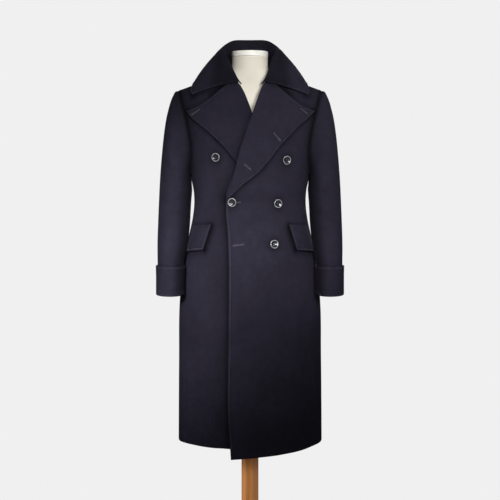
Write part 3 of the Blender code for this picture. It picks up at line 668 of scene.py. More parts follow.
def sleeve_points(front, back, first, folds):
    """Seen rings of a sleeve from the armhole of its panels down to the wrist."""
    hole = np.concatenate([front[first:, -1][::-1], back[first:, -1][1:-1]])
    count = len(hole)
    angle = np.linspace(0.0, 2.0 * math.pi, count, endpoint=False)
    start = sleeve_ring(0.0, angle)
    stations = np.concatenate([np.array([0.0, 0.004, 0.009, 0.016, 0.026]),
                               np.linspace(0.038, 0.988, SLEEVE_ROWS),
                               np.array([0.993, 0.997, 1.0])])
    rings = []
    for along in stations:
        own = float(np.clip(curve(SLEEVE, "share", along), 0.0, 1.0)) if along < 0.22 else 0.0
        rings.append(sleeve_ring(along, angle) + own * (hole - start))
    seen = np.array(rings)
    normal = grid_normals(seen, None, True)
    signed = np.where(angle > math.pi, angle - 2.0 * math.pi, angle)
    around = signed[None, :] * SLEEVE_RADIUS
    calm = step(0.02, 0.10, stations)[:, None] * (1.0 - step(0.84, 0.90, stations))[:, None]
    lift = fold_lift(folds, around, seen[..., 2]) * calm
    lift += 0.0022 * np.exp(-(((stations - 0.035) / 0.022) ** 2))[:, None] * (
        step(-0.2, 0.6, np.cos(angle))[None, :])
    lift -= 0.0012 * np.exp(-((stations / 0.004) ** 2))[:, None]
    seen = seen + normal * lift[..., None]
    away = unit(seen[1] - seen[0]) * SEAM_GAP + np.array([0.0006, 0.0, 0.0004])
    seen[0] = hole + away
    return seen


def split_sleeve(seen, pile):
    """Top sleeve and under sleeve, each with seam dips, and the painted shade of each."""
    count = seen.shape[1]
    ahead, behind = round(count * 0.42), round(count * 0.33)
    top = [j % count for j in range(-behind, ahead + 1)]
    under = list(range(ahead, count - behind + 1))
    parts = []
    painted_shades = []
    for columns in (top, under):
        part = seen[:, columns].copy()
        normal = grid_normals(seen, None, True)[:, columns]
        for side in ("first", "last"):
            draw_in(part, side, SEAM_GAP / 2.0)
        dips = edge_lift(part, {"first": "seam", "last": "seam"})
        parts.append(part + normal * dips[..., None])
        painted_shades.append(pile[:, columns])
    return parts + painted_shades


def cuff_points(count):
    angle = np.linspace(0.0, 2.0 * math.pi, count, endpoint=False)
    share = spaced(CUFF_TOP - CUFF_FOOT, 26)
    levels = 0.897 + (1.0 - 0.897) * share
    seen = np.array([sleeve_ring(along, angle) for along in levels])
    seen[..., 2] = (CUFF_TOP + (CUFF_FOOT - CUFF_TOP) * share)[:, None]
    normal = grid_normals(seen, None, True)
    normal[..., 2] = 0.0
    normal = unit(normal)
    down = share * (CUFF_TOP - CUFF_FOOT)
    foot = (CUFF_TOP - CUFF_FOOT) - down
    lift = LAYER + 0.0010 + 0.0008 * np.exp(-((down / 0.02) ** 2))
    lift = lift - 0.0010 * np.exp(-((down / 0.0012) ** 2)) - 0.0012 * np.exp(-((foot / 0.0014) ** 2))
    for line in (STITCH_IN, 0.0145):
        lift = lift - 0.0006 * np.exp(-(((foot - line) / 0.0012) ** 2))
    lift = lift - 0.0006 * np.exp(-(((down - STITCH_IN) / 0.0012) ** 2))
    wave = 0.0008 * np.sin(angle * 2.0 + 0.6)[None, :] * share[:, None]
    seen = seen + normal * (lift[:, None] + wave)[..., None]
    seen[..., 2] -= 0.0016 * share[:, None] * (1.0 + np.sin(angle - 0.4))[None, :]
    return seen


# ------------------------------------------------------------------ lapels, collar, flaps
def lapel_points(table, lapping):
    along = spaced(0.42, 70, True, True)[:, None]
    across = spaced(0.20, 44)[None, :]
    roll_x, roll_z = curve(table, "roll_x", along), curve(table, "roll_z", along)
    free_x, free_z = curve(table, "free_x", along), curve(table, "free_z", along)
    x = roll_x + (free_x - roll_x) * across
    z = roll_z + (free_z - roll_z) * across
    z = z + along**4 * curve(LAPEL_TOP, "rise", across)
    plain = body_surface(-1, turn_at(x, z), z)
    normal = grid_normals(plain, (0.0, -1.0, 0.0))
    own = front_lift(x, z, far_edge(z)) if lapping else 0.0 * x
    width = np.abs(free_x - roll_x) + 0.001
    bulge = 0.0035 * np.exp(-((across * width / 0.022) ** 2)) * step(0.0, 0.25, along)
    if not lapping:
        bulge = bulge * step(1.39, 1.45, z)
    shown = 1.0 if lapping else step(1.30, 1.36, z)
    free = edge_distance(plain, "last")
    proud = 0.0012 * np.exp(-((free / 0.030) ** 2)) * shown
    roll = edge_distance(plain, "first")
    turned = 0.0026 * (1.0 - np.sqrt(1.0 - (1.0 - np.clip(roll / 0.0045, 0.0, 1.0)) ** 2))
    lift = own + LAYER + bulge + proud - turned * shown
    lift = lift + edge_lift(plain, {"last": "free", "top": "free"})
    return plain + normal * lift[..., None]


def smooth_through(rows, count):
    """Dense smooth rows through a few rows of points."""
    rows = np.array(rows)
    spacing = np.linalg.norm(np.diff(rows, axis=0), axis=-1).mean(axis=1)
    spots = np.concatenate([[0.0], np.cumsum(spacing)])
    wanted = np.concatenate([np.linspace(0.0, spots[-1] - 0.0125, count),
                             spots[-1] - np.array(FINE[:-1])[::-1]])
    slopes = np.gradient(rows, spots, axis=0)
    i = np.clip(np.searchsorted(spots, wanted, side="right") - 1, 0, len(spots) - 2)
    span = (spots[i + 1] - spots[i])[:, None, None]
    t = ((wanted - spots[i]) / (spots[i + 1] - spots[i]))[:, None, None]
    rise = (2 * t**3 - 3 * t**2 + 1) * rows[i] + (3 * t**2 - 2 * t**3) * rows[i + 1]
    lean = (t**3 - 2 * t**2 + t) * slopes[i] + (t**3 - t**2) * slopes[i + 1]
    return rise + lean * span


def collar_points():
    half = spaced(0.30, 56, False, True)
    around = np.concatenate([-half[:0:-1], half])
    side = np.where(around < 0.0, -1.0, 1.0)

    def line(part):
        values = [curve(COLLAR, part + axis, np.abs(around)) for axis in ("_x", "_y", "_z")]
        values[0] = values[0] * side
        return np.stack(values, axis=-1)

    base, fold, edge = line("base"), line("fold"), line("edge")
    nearer = COLLAR_SET * step(0.70, 1.0, -around)
    base[:, 0] += nearer
    fold[:, 0] += nearer
    outward = unit(fold * np.array([1.0, 1.0, 0.0]))
    fall = unit(edge - fold)
    rise = unit(fold - base)
    ends = step(0.85, 1.0, np.abs(around))[:, None]
    stand_top = fold - rise * 0.007 - outward * 0.0035 * (1.0 - ends)
    shoulder = fold + fall * 0.007 + outward * 0.0045 * (1.0 - 0.6 * ends)
    bulge = outward * 0.010 * (1.0 - 0.8 * ends) + np.array([0.0, 0.0, 0.008])
    rows = [base, (base + stand_top) / 2.0, stand_top, fold, shoulder]
    for share in (0.2, 0.4, 0.6, 0.8, 1.0):
        flat = shoulder + (edge - shoulder) * share
        rows.append(flat + bulge * 4.0 * share * (1.0 - share) * 0.5)
    seen = smooth_through(rows, 64)
    normal = grid_normals(seen, (0.0, 1.0, 0.0))
    lift = edge_lift(seen, {"first": "free", "last": "free", "top": "free"})
    return seen + normal * lift[..., None]


def flap_points():
    down = spaced(0.085, 16)[:, None]
    across = spaced(0.085, 16)[None, :]
    near_x, near_z = curve(FLAP, "near_x", down), curve(FLAP, "near_z", down)
    far_x, far_z = curve(FLAP, "far_x", down), curve(FLAP, "far_z", down)
    z = near_z + (far_z - near_z) * across
    turn_near, turn_far = turn_at(near_x, near_z), turn_at(far_x, far_z)
    turn = turn_near + (turn_far - turn_near) * across
    plain = body_surface(-1, turn, z)
    normal = grid_normals(plain, (0.0, -1.0, 0.0))
    lift = LAYER + down * (0.0105 - 0.0065 * across)
    lift = lift + edge_lift(plain, {"first": "free", "last": "free", "top": "free",
                                    "bottom": "seam"})
    return plain + normal * lift[..., None]


# ------------------------------------------------------------------ finishes
def new_look(name, base, roughness):
    look = bpy.data.materials.new(name)
    look.use_nodes = True
    tree = look.node_tree
    shader = tree.nodes["Principled BSDF"]
    shader.inputs["Base Color"].default_value = (*base, 1.0)
    shader.inputs["Roughness"].default_value = roughness
    return look, tree, shader


def add_node(tree, kind, **sockets):
    node = tree.nodes.new(kind)
    for name, value in sockets.items():
        node.inputs[name.replace("_", " ")].default_value = value
    return node


def ramp(tree, source, stops):
    node = tree.nodes.new("ShaderNodeValToRGB")
    node.color_ramp.elements[0].position = stops[0][0]
    node.color_ramp.elements[0].color = (*stops[0][1], 1.0)
    node.color_ramp.elements[1].position = stops[-1][0]
    node.color_ramp.elements[1].color = (*stops[-1][1], 1.0)
    for place, colour in stops[1:-1]:
        added = node.color_ramp.elements.new(place)
        added.color = (*colour, 1.0)
    tree.links.new(source, node.inputs["Fac"])
    return node


def mix_colour(tree, kind, amount, first, second):
    node = tree.nodes.new("ShaderNodeMix")
    node.data_type = "RGBA"
    node.blend_type = kind
    node.inputs["Factor"].default_value = amount
    tree.links.new(first, node.inputs["A"])
    tree.links.new(second, node.inputs["B"])
    return node.outputs["Result"]


def wool_look():
    look, tree, shader = new_look("navy_wool", (0.020, 0.0178, 0.029), 0.88)
    shader.inputs["Specular IOR Level"].default_value = 0.10
    shader.inputs["Sheen Weight"].default_value = 0.045
    shader.inputs["Sheen Roughness"].default_value = 0.42
    shader.inputs["Sheen Tint"].default_value = (0.42, 0.38, 0.58, 1.0)
    place = tree.nodes.new("ShaderNodeTexCoord")
    broad = add_node(tree, "ShaderNodeTexNoise", Scale=7.0, Detail=3.0, Roughness=0.55)
    patch = add_node(tree, "ShaderNodeTexNoise", Scale=55.0, Detail=4.0, Roughness=0.6)
    fibre = add_node(tree, "ShaderNodeTexNoise", Scale=900.0, Detail=5.0, Roughness=0.7)
    for node in (broad, patch, fibre):
        tree.links.new(place.outputs["Object"], node.inputs["Vector"])
    base = ramp(tree, broad.outputs["Fac"], ((0.30, (0.0165, 0.0148, 0.0235)),
                                             (0.70, (0.0235, 0.0208, 0.0345))))
    worn = ramp(tree, patch.outputs["Fac"], ((0.35, (0.90, 0.90, 0.90)),
                                             (0.68, (1.10, 1.10, 1.12))))
    nap = ramp(tree, fibre.outputs["Fac"], ((0.38, (0.72, 0.72, 0.74)),
                                            (0.62, (1.32, 1.30, 1.36))))
    colour = mix_colour(tree, "MULTIPLY", 1.0, base.outputs["Color"], worn.outputs["Color"])
    colour = mix_colour(tree, "MULTIPLY", 0.8, colour, nap.outputs["Color"])
    # The colour is scaled down by the painted shade attribute of each point.
    pile = tree.nodes.new("ShaderNodeAttribute")
    pile.attribute_name = "pile"
    shade = tree.nodes.new("ShaderNodeVectorMath")
    shade.operation = "SCALE"
    tree.links.new(colour, shade.inputs[0])
    tree.links.new(pile.outputs["Fac"], shade.inputs["Scale"])
    tree.links.new(shade.outputs["Vector"], shader.inputs["Base Color"])
    twill = []
    for turn in (0.55, -0.95):
        turned = add_node(tree, "ShaderNodeMapping")
        turned.inputs["Rotation"].default_value = (0.0, 0.0, turn)
        tree.links.new(place.outputs["UV"], turned.inputs["Vector"])
        ribs = add_node(tree, "ShaderNodeTexWave", Scale=95.0, Distortion=1.4, Detail=2.0)
        ribs.inputs["Detail Scale"].default_value = 3.0
        tree.links.new(turned.outputs["Vector"], ribs.inputs["Vector"])
        twill.append(ribs.outputs["Color"])
    weave = mix_colour(tree, "MIX", 0.35, twill[0], twill[1])
    height = mix_colour(tree, "MIX", 0.62, weave, fibre.outputs["Color"])
    bump = add_node(tree, "ShaderNodeBump", Strength=0.55, Distance=0.0006)
    tree.links.new(height, bump.inputs["Height"])
    soft = add_node(tree, "ShaderNodeBump", Strength=0.5, Distance=0.0015)
    tree.links.new(patch.outputs["Fac"], soft.inputs["Height"])
    tree.links.new(soft.outputs["Normal"], bump.inputs["Normal"])
    tree.links.new(bump.outputs["Normal"], shader.inputs["Normal"])
    return look


def thread_look():
    look, tree, shader = new_look("navy_thread", (0.030, 0.027, 0.042), 0.6)
    shader.inputs["Sheen Weight"].default_value = 0.3
    place = tree.nodes.new("ShaderNodeTexCoord")
    ply = add_node(tree, "ShaderNodeTexNoise", Scale=1400.0, Detail=2.0)
    tree.links.new(place.outputs["Object"], ply.inputs["Vector"])
    tint = ramp(tree, ply.outputs["Fac"], ((0.3, (0.017, 0.016, 0.026)),
                                           (0.7, (0.034, 0.032, 0.050))))
    tree.links.new(tint.outputs["Color"], shader.inputs["Base Color"])
    return look


def horn_look():
    look, tree, shader = new_look("dark_horn", (0.030, 0.033, 0.040), 0.22)
    shader.inputs["Coat Weight"].default_value = 0.5
    shader.inputs["Coat Roughness"].default_value = 0.12
    place = tree.nodes.new("ShaderNodeTexCoord")
    cloud = add_node(tree, "ShaderNodeTexNoise", Scale=160.0, Detail=6.0, Distortion=1.5)
    tree.links.new(place.outputs["Object"], cloud.inputs["Vector"])
    # Painted highlight: the attribute paints the raised ring by the rim pale.
    rim = add_node(tree, "ShaderNodeAttribute")
    rim.attribute_name = "rim"
    pale = add_node(tree, "ShaderNodeMath")
    pale.operation = "MAXIMUM"
    tree.links.new(cloud.outputs["Fac"], pale.inputs[0])
    tree.links.new(rim.outputs["Fac"], pale.inputs[1])
    tint = ramp(tree, pale.outputs[0], ((0.35, (0.008, 0.009, 0.012)),
                                        (0.58, (0.022, 0.024, 0.029)),
                                        (0.75, (0.070, 0.072, 0.080)),
                                        (0.90, (0.21, 0.215, 0.23))))
    tree.links.new(tint.outputs["Color"], shader.inputs["Base Color"])
    return look


def linen_look():
    look, tree, shader = new_look("form_linen", (0.80, 0.75, 0.64), 0.85)
    place = tree.nodes.new("ShaderNodeTexCoord")
    threads = add_node(tree, "ShaderNodeTexNoise", Scale=650.0, Detail=3.0)
    patch = add_node(tree, "ShaderNodeTexNoise", Scale=12.0, Detail=3.0)
    for node in (threads, patch):
        tree.links.new(place.outputs["Object"], node.inputs["Vector"])
    tint = ramp(tree, patch.outputs["Fac"], ((0.3, (0.76, 0.71, 0.60)),
                                             (0.7, (0.84, 0.79, 0.68))))
    tree.links.new(tint.outputs["Color"], shader.inputs["Base Color"])
    bump = add_node(tree, "ShaderNodeBump", Strength=0.35, Distance=0.0005)
    tree.links.new(threads.outputs["Fac"], bump.inputs["Height"])
    tree.links.new(bump.outputs["Normal"], shader.inputs["Normal"])
    return look


def cap_look():
    look, tree, shader = new_look("cap_cream", (0.95, 0.93, 0.86), 0.38)
    place = tree.nodes.new("ShaderNodeTexCoord")
    patch = add_node(tree, "ShaderNodeTexNoise", Scale=30.0, Detail=3.0)
    tree.links.new(place.outputs["Object"], patch.inputs["Vector"])
    tint = ramp(tree, patch.outputs["Fac"], ((0.3, (0.93, 0.90, 0.82)),
                                             (0.7, (0.97, 0.95, 0.89))))
    tree.links.new(tint.outputs["Color"], shader.inputs["Base Color"])
    return look


def wood_look(name, dark, light):
    look, tree, shader = new_look(name, light, 0.42)
    shader.inputs["Specular IOR Level"].default_value = 0.3
    place = tree.nodes.new("ShaderNodeTexCoord")
    stretch = add_node(tree, "ShaderNodeMapping")
    stretch.inputs["Scale"].default_value = (38.0, 38.0, 1.8)
    tree.links.new(place.outputs["Object"], stretch.inputs["Vector"])
    grain = add_node(tree, "ShaderNodeTexNoise", Scale=2.2, Detail=7.0, Roughness=0.6,
                     Distortion=0.8)
    tree.links.new(stretch.outputs["Vector"], grain.inputs["Vector"])
    tint = ramp(tree, grain.outputs["Fac"], ((0.30, dark), (0.72, light)))
    tree.links.new(tint.outputs["Color"], shader.inputs["Base Color"])
    bump = add_node(tree, "ShaderNodeBump", Strength=0.2, Distance=0.0006)
    tree.links.new(grain.outputs["Fac"], bump.inputs["Height"])
    tree.links.new(bump.outputs["Normal"], shader.inputs["Normal"])
    return look


LOOKS = {
    "navy_wool": wool_look(),
    "navy_thread": thread_look(),
    "dark_horn": horn_look(),
    "form_linen": linen_look(),
    "cap_cream": cap_look(),
    "pole_wood": wood_look("pole_wood", (0.38, 0.135, 0.032), (0.58, 0.245, 0.075)),
    "base_wood": wood_look("base_wood", (0.30, 0.120, 0.038), (0.46, 0.21, 0.075)),
}

# ------------------------------------------------------------------ the coat
left, first_arm = front_points(EDGE_LEFT, OVERLAP_DROP, True, FRONT_LEFT_FOLDS)
right, _ = front_points(EDGE_RIGHT, 0.0, False, FRONT_RIGHT_FOLDS)
back_l, _ = back_points(BACK_LEFT_FOLDS)
back_r, _ = back_points(BACK_RIGHT_FOLDS)
sleeve_l = sleeve_points(left, back_l, first_arm, SLEEVE_LEFT_FOLDS)
sleeve_r = sleeve_points(right, back_r, first_arm, SLEEVE_RIGHT_FOLDS)
for panel in (left, right, back_l, back_r):
    draw_in(panel, "last", SEAM_GAP)
    draw_in(panel, "top", SEAM_GAP)
for panel in (back_l, back_r):
    draw_in(panel, "first", SEAM_GAP / 2.0)
right, back_r, sleeve_r = mirror(right), mirror(back_r), mirror(sleeve_r)

flap_l = flap_points()
flap_r = mirror(flap_l)
cuff_l = cuff_points(CUFF_COLUMNS)
cuff_r = mirror(cuff_l)
lapel_l = lapel_points(LAPEL_LEFT, True)
lapel_r = mirror(lapel_points(LAPEL_RIGHT, False))
collar = collar_points()

FRONT_CUT = {"flat": (0.46, 1.28), "area": 0.40, "outward": (0.0, -1.0, 0.0)}
BACK_CUT = {"flat": (0.36, 1.26), "area": 0.345, "outward": (0.0, 1.0, 0.0)}
UPPER = first_arm

# Reach and depth of the painted shade in the wool beside seams and under edges.
ARMHOLE_SHADE = ((0.009, 0.75), (0.030, 0.30))
SIDE_SEAM_SHADE = (0.006, 0.30)
UNDER_SLEEVE_SHADE = (0.020, 0.25)
UNDER_COLLAR_SHADE = (0.022, 0.55)
FLAP_SHADE = (0.014, 0.72)
FLAP_SEAM_SHADE = (0.006, 0.75)
GAPE_SHADE = (0.0085, 0.94)
GAPE_INWARD = 0.006
GAPE_BEHIND = 0.009
LAPEL_EDGE_SHADE = (0.009, 0.85)
LAPEL_TOP_SHADE = (0.014, 0.60)
GORGE_SHADE = (0.018, 0.80)
LEFT_BUTTON_SHADE = (0.0195, 0.85)
RIGHT_BUTTON_SHADE = (0.0185, 0.85)
SEAM_LINE_SHADE = (0.004, 0.40)
SLEEVE_HEAD_SHADE = ((0.009, 0.72), (0.032, 0.34))
INNER_SLEEVE_SHADE = 0.60


def body_painted_shade(panel, flap=None, lapel=None):
    """Painted shade on a body panel: armhole, side by the sleeve, flap, lapel and collar edges."""
    lines = [(panel[UPPER:, -1], *shade) for shade in ARMHOLE_SHADE]
    lines += [(panel[:UPPER, -1], *SIDE_SEAM_SHADE),
              (panel[UPPER * 3 // 4:UPPER, -1], *UNDER_SLEEVE_SHADE),
              (side_line(collar, "top"), *UNDER_COLLAR_SHADE)]
    if flap is not None:
        lines += [(side_line(flap, side)[len(flap) // 4:], *FLAP_SHADE) for side in ("first", "top")]
        # Painted shadow in the gap where the flap's front edge stands off the panel.
        gape = side_line(flap, "first")[len(flap) // 5:]
        stand_off = np.array([-GAPE_INWARD * np.sign(gape[0, 0]), GAPE_BEHIND, 0.0])
        gape = gape + np.linspace(0.0, 1.0, len(gape))[:, None] * stand_off
        lines += [(gape, *GAPE_SHADE), (side_line(flap, "bottom"), *FLAP_SEAM_SHADE)]
    if lapel is not None:
        lines += [(side_line(lapel, "last"), *LAPEL_EDGE_SHADE),
                  (side_line(lapel, "top"), *LAPEL_TOP_SHADE),
                  (side_line(lapel, "top")[:len(lapel[0]) // 2], *GORGE_SHADE)]
    return shade_near_lines(panel, *lines)


def inner_side_shade(columns):
    """Painted shade on the side of a sleeve ring that faces the body."""
    around = np.cos(np.linspace(0.0, 2.0 * math.pi, columns, endpoint=False))
    return (1.0 - INNER_SLEEVE_SHADE * step(0.10, 0.95, -around))[None, :]


def under_buttons(seats):
    """Middles of the buttons, on the plain surface of the front."""
    return [body_surface(-1, turn_at(np.array([x]), np.array([z])), np.array([z]))[0]
            for name, x, z, _ in BUTTONS[1] if name in seats]


RIGHT_SEATS = ("button_upper_right",)
LEFT_SEATS = tuple(row[0] for row in BUTTONS[1] if row[0] not in RIGHT_SEATS)
below_roll = left[left[:, 0, 2] < 1.135, 0]
# A broad painted shade down the lower middle of the lapping front, where less light falls, not a
# hollow.
below_knee = left[(left[:, 0, 2] > 0.42) & (left[:, 0, 2] < 0.72), 0] + (0.12, -0.01, 0.0)
# Painted shade round the buttons and along the seams, and painted light and shade along the front
# edge.
cloth_piece("coat_front_left", left, ["front_left"], FRONT_CUT,
            pile=body_painted_shade(left, flap_l, lapel_l) * edge_wear_and_painted_light(left, "first", wide=0.009, gain=0.42)
            * shade_near_lines(left, (below_knee, 0.14, 0.32), (under_buttons(LEFT_SEATS), *LEFT_BUTTON_SHADE)))
# Painted shade on the under front round its button, below the lap's roll and beside the lapping lapel.
cloth_piece("coat_front_right", right, ["front_right"], FRONT_CUT,
            pile=body_painted_shade(right, flap_r, lapel_r)
            * shade_near_lines(right, (under_buttons(RIGHT_SEATS), *RIGHT_BUTTON_SHADE))
            * shade_near_lines(right, (below_roll, 0.013, 0.68), (below_roll, 0.055, 0.36),
                      (side_line(lapel_l, "first"), 0.020, 0.7)))
# Painted shade on the backs beside the armholes, side seams and centre seam.
for side, panel in (("left", back_l), ("right", back_r)):
    centre_seam = (side_line(panel, "first"), *SEAM_LINE_SHADE)
    cloth_piece("coat_back_" + side, panel, ["back_" + side], BACK_CUT,
                pile=body_painted_shade(panel) * shade_near_lines(panel, centre_seam))

TOP_CUT = {"flat": (0.29, 0.67), "area": 0.168, "outward": (1.0, 0.0, 0.0), "held": "hung"}
UNDER_CUT = {"flat": (0.13, 0.51), "area": 0.047, "outward": (-1.0, 0.0, 0.0), "held": "hung"}
CUFF_CUT = {"flat": (0.36, 0.105), "area": 0.036, "outward": (1.0, 0.0, 0.0),
            "held": "folded"}
for side, sleeve, flap, cuff in (("left", sleeve_l, flap_l, cuff_l),
                                 ("right", sleeve_r, flap_r, cuff_r)):
    panel = "coat_front_" + side
    sign = 1.0 if side == "left" else -1.0
    TOP_CUT["outward"] = (sign, 0.0, 0.0)
    UNDER_CUT["outward"] = (-sign, 0.0, 0.0)
    # Painted shade on the sleeve's inner side, by the armhole and above the cuff.
    pile = inner_side_shade(sleeve.shape[1]) * shade_near_lines(
        sleeve, *[(sleeve[0], *shade) for shade in SLEEVE_HEAD_SHADE],
        (side_line(cuff, "bottom"), 0.007, 0.5))
    top_sleeve, under_sleeve, top_painted_shade, under_painted_shade = split_sleeve(sleeve, pile)
    cloth_piece("sleeve_top_" + side, top_sleeve, ["top_sleeve_" + side], TOP_CUT,
                pile=top_painted_shade)
    cloth_piece("sleeve_under_" + side, under_sleeve, ["under_sleeve_" + side], UNDER_CUT,
                pile=under_painted_shade)
    # Painted shade on the cuff's inner side, painted light and shade at the edges of cuff and flap,
    # and painted shade along the flap's sewn edge.
    cloth_piece("sleeve_cuff_" + side, cuff, ["cuff_" + side], CUFF_CUT,
                wraps=True,
                pile=inner_side_shade(CUFF_COLUMNS) * edge_wear_and_painted_light(cuff, "bottom", "top"))
    cloth_piece("flap_" + side, flap, ["pocket_flap_" + side],
                {"flat": (0.075, 0.09), "area": 0.0060, "outward": (0.0, -1.0, 0.0)},
                pile=edge_wear_and_painted_light(flap, "first", "top")
                * shade_near_lines(flap, (side_line(flap, "bottom"), 0.003, 0.4)))

LAPEL_CUT = {"flat": (0.22, 0.42), "area": 0.046, "outward": (0.0, -1.0, 0.0),
             "held": "folded"}
# Painted shadow of the collar on both lapels, and of the lapping lapel's roll on the under lapel.
under_collar = (side_line(collar, "top"), 0.012, 0.75)
cloth_piece("lapel_peak_left", lapel_l, ["lapel_left"], LAPEL_CUT,
            pile=edge_wear_and_painted_light(lapel_l, "last", "top") * shade_near_lines(lapel_l, under_collar))
cloth_piece("lapel_peak_right", lapel_r, ["lapel_right"], LAPEL_CUT,
            pile=edge_wear_and_painted_light(lapel_r, "last", "top")
            * shade_near_lines(lapel_r, under_collar, (side_line(lapel_l, "first"), 0.014, 0.80),
                      (side_line(lapel_l, "first"), 0.040, 0.25)))
# Painted shade on the collar's stand, darker towards its base, and painted light and shade at its free
# edges.
stand = step(0.085, 0.135, edge_distance(collar, "bottom"))
cloth_piece("collar_strip", collar, ["collar"],
            {"flat": (0.62, 0.25), "area": 0.120, "outward": (0.0, 1.0, 0.0),
             "held": "folded"},
            pile=(0.45 + 0.55 * stand) * edge_wear_and_painted_light(collar, "first", "last", "top"))


# ------------------------------------------------------------------ buttons
def front_spot(x, height, lapping):
    """Point and outward direction on the front, with the lap's lift."""
    steps = np.array([-0.008, 0.0, 0.008])
    z = height + steps[:, None] + 0.0 * steps[None, :]
    plain = body_surface(-1, turn_at(x + steps[None, :] + 0.0 * z, z), z)
    out = Vector(grid_normals(plain, (0.0, -1.0, 0.0))[1, 1])
    lift = float(front_lift(x, height, far_edge(height))) if lapping else 0.0
    return Vector(plain[1, 1]), out, lift


def button(name, x, height, turn):
    spot, out, lift = front_spot(x, height, not name.endswith("right"))
    radius = BUTTON_DIAMETER / 2.0
    profile = ((0.0, 0.0002), (radius * 0.78, 0.0002), (radius * 0.94, 0.0010),
               (radius, 0.0024), (radius * 0.985, 0.0032), (radius * 0.94, 0.0039),
               (radius * 0.86, 0.0042), (radius * 0.77, 0.0041), (radius * 0.68, 0.0036),
               (radius * 0.58, 0.0027), (radius * 0.46, 0.0021), (radius * 0.24, 0.0019),
               (0.0, 0.0019))
    built = bmesh.new()
    corners = [built.verts.new((reach, 0.0, rise)) for reach, rise in profile]
    for low, high in zip(corners, corners[1:]):
        built.edges.new((low, high))
    bmesh.ops.spin(built, geom=built.verts[:] + built.edges[:], cent=(0, 0, 0),
                   axis=(0, 0, 1), angle=2.0 * math.pi, steps=56, use_merge=True)
    bmesh.ops.remove_doubles(built, verts=built.verts, dist=1e-6)
    bmesh.ops.recalc_face_normals(built, faces=built.faces)
    blank = bpy.data.meshes.new("blank")
    built.to_mesh(blank)
    built.free()
    drill = bmesh.new()
    hole_at = radius * 0.20
    for sx, sy in ((1, 1), (-1, 1), (-1, -1), (1, -1)):
        bmesh.ops.create_cone(drill, cap_ends=True, segments=14, radius1=0.0012,
                              radius2=0.0012, depth=0.02,
                              matrix=Matrix.Translation((sx * hole_at, sy * hole_at, 0.0)))
    drill_mesh = bpy.data.meshes.new("drill")
    drill.to_mesh(drill_mesh)
    drill.free()
    blank_object = bpy.data.objects.new("blank", blank)
    drill_object = bpy.data.objects.new("drill", drill_mesh)
    for made in (blank_object, drill_object):
        bpy.context.scene.collection.objects.link(made)
    cut = blank_object.modifiers.new("holes", "BOOLEAN")
    cut.object = drill_object
    cut.solver = "EXACT"
    seen = blank_object.evaluated_get(bpy.context.evaluated_depsgraph_get())
    finished = bmesh.new()
    finished.from_mesh(seen.to_mesh())
    seen.to_mesh_clear()
    for made in (blank_object, drill_object):
        bpy.data.objects.remove(made, do_unlink=True)
    place = (Matrix.Translation(spot + out * (lift + AIR * 0.6))
             @ out.to_track_quat("Z", "Y").to_matrix().to_4x4()
             @ Matrix.Rotation(turn, 4, "Z"))
    # Painted highlight: the raised ring near the rim is marked to take a pale colour.
    rim = finished.verts.layers.float.new("rim")
    for turned in finished.verts:
        reach = math.hypot(turned.co.x, turned.co.y) / radius
        turned[rim] = 0.9 if 0.74 < reach < 0.97 and turned.co.z > 0.002 else 0.0
    bmesh.ops.transform(finished, matrix=place, verts=finished.verts)
    made = add_object("horn_" + name, finished, "dark_horn", [name])
    corner = made.modifiers.new("edge", "BEVEL")
    corner.width = 0.00012
    corner.segments = 2
    corner.limit_method = "ANGLE"
    corner.angle_limit = math.radians(50.0)
    sew = bmesh.new()
    for row in (-1, 1):
        strand = Matrix.Translation((0.0, row * hole_at, 0.0023)) @ Matrix.Diagonal(
            (hole_at * 1.25, 0.00055, 0.0006, 1.0))
        bmesh.ops.create_uvsphere(sew, u_segments=12, v_segments=8, radius=1.0,
                                  matrix=place @ strand)
    bmesh.ops.create_cone(sew, cap_ends=True, segments=12, radius1=0.0026, radius2=0.0024,
                          depth=0.0016,
                          matrix=place @ Matrix.Translation((0.0, 0.0, -0.0004)))
    add_object("thread_" + name, sew, "navy_thread", [])


for name, x, height, turn in BUTTONS[1]:
    button(name, x, height, turn)


# ------------------------------------------------------------------ stitching, buttonholes
def stitches(built, points, normal, long=STITCH_LONG, pitch=STITCH_PITCH, thick=0.00035):
    """Small raised stitches along a line of points on the cloth."""
    steps = np.linalg.norm(np.diff(points, axis=0), axis=-1)
    walked = np.concatenate([[0.0], np.cumsum(steps)])
    size = Matrix.Diagonal((long / 2.0, thick, thick, 1.0))
    line = bmesh.new()
    for at in np.arange(pitch, walked[-1] - pitch, pitch):
        here, ahead = (Vector([np.interp(at + more, walked, points[:, k]) for k in range(3)])
                       for more in (0.0, 0.001))
        out = Vector([np.interp(at, walked, normal[:, k]) for k in range(3)])
        along = (ahead - here).normalized()
        side = out.cross(along).normalized()
        out = along.cross(side)
        turn = Matrix((along, side, out)).transposed().to_4x4()
        bmesh.ops.create_icosphere(
            line, subdivisions=1, radius=1.0,
            matrix=Matrix.Translation(here + out * thick * 0.35) @ turn @ size)
    sewn = bpy.data.meshes.new("line")
    line.to_mesh(sewn)
    line.free()
    built.from_mesh(sewn)
    bpy.data.meshes.remove(sewn)


def line_at(seen, outward, side, distance, wraps=False):
    """Line of points and normals that runs along one side of a grid, that far inside."""
    normal = grid_normals(seen, outward, wraps)
    away = edge_distance(seen, side)
    if side in ("first", "last"):
        pick = np.argmin(np.abs(away - distance), axis=1)
        rows = np.arange(seen.shape[0])
        return seen[rows, pick], normal[rows, pick]
    pick = np.argmin(np.abs(away - distance), axis=0)
    cols = np.arange(seen.shape[1])
    return seen[pick, cols], normal[pick, cols]


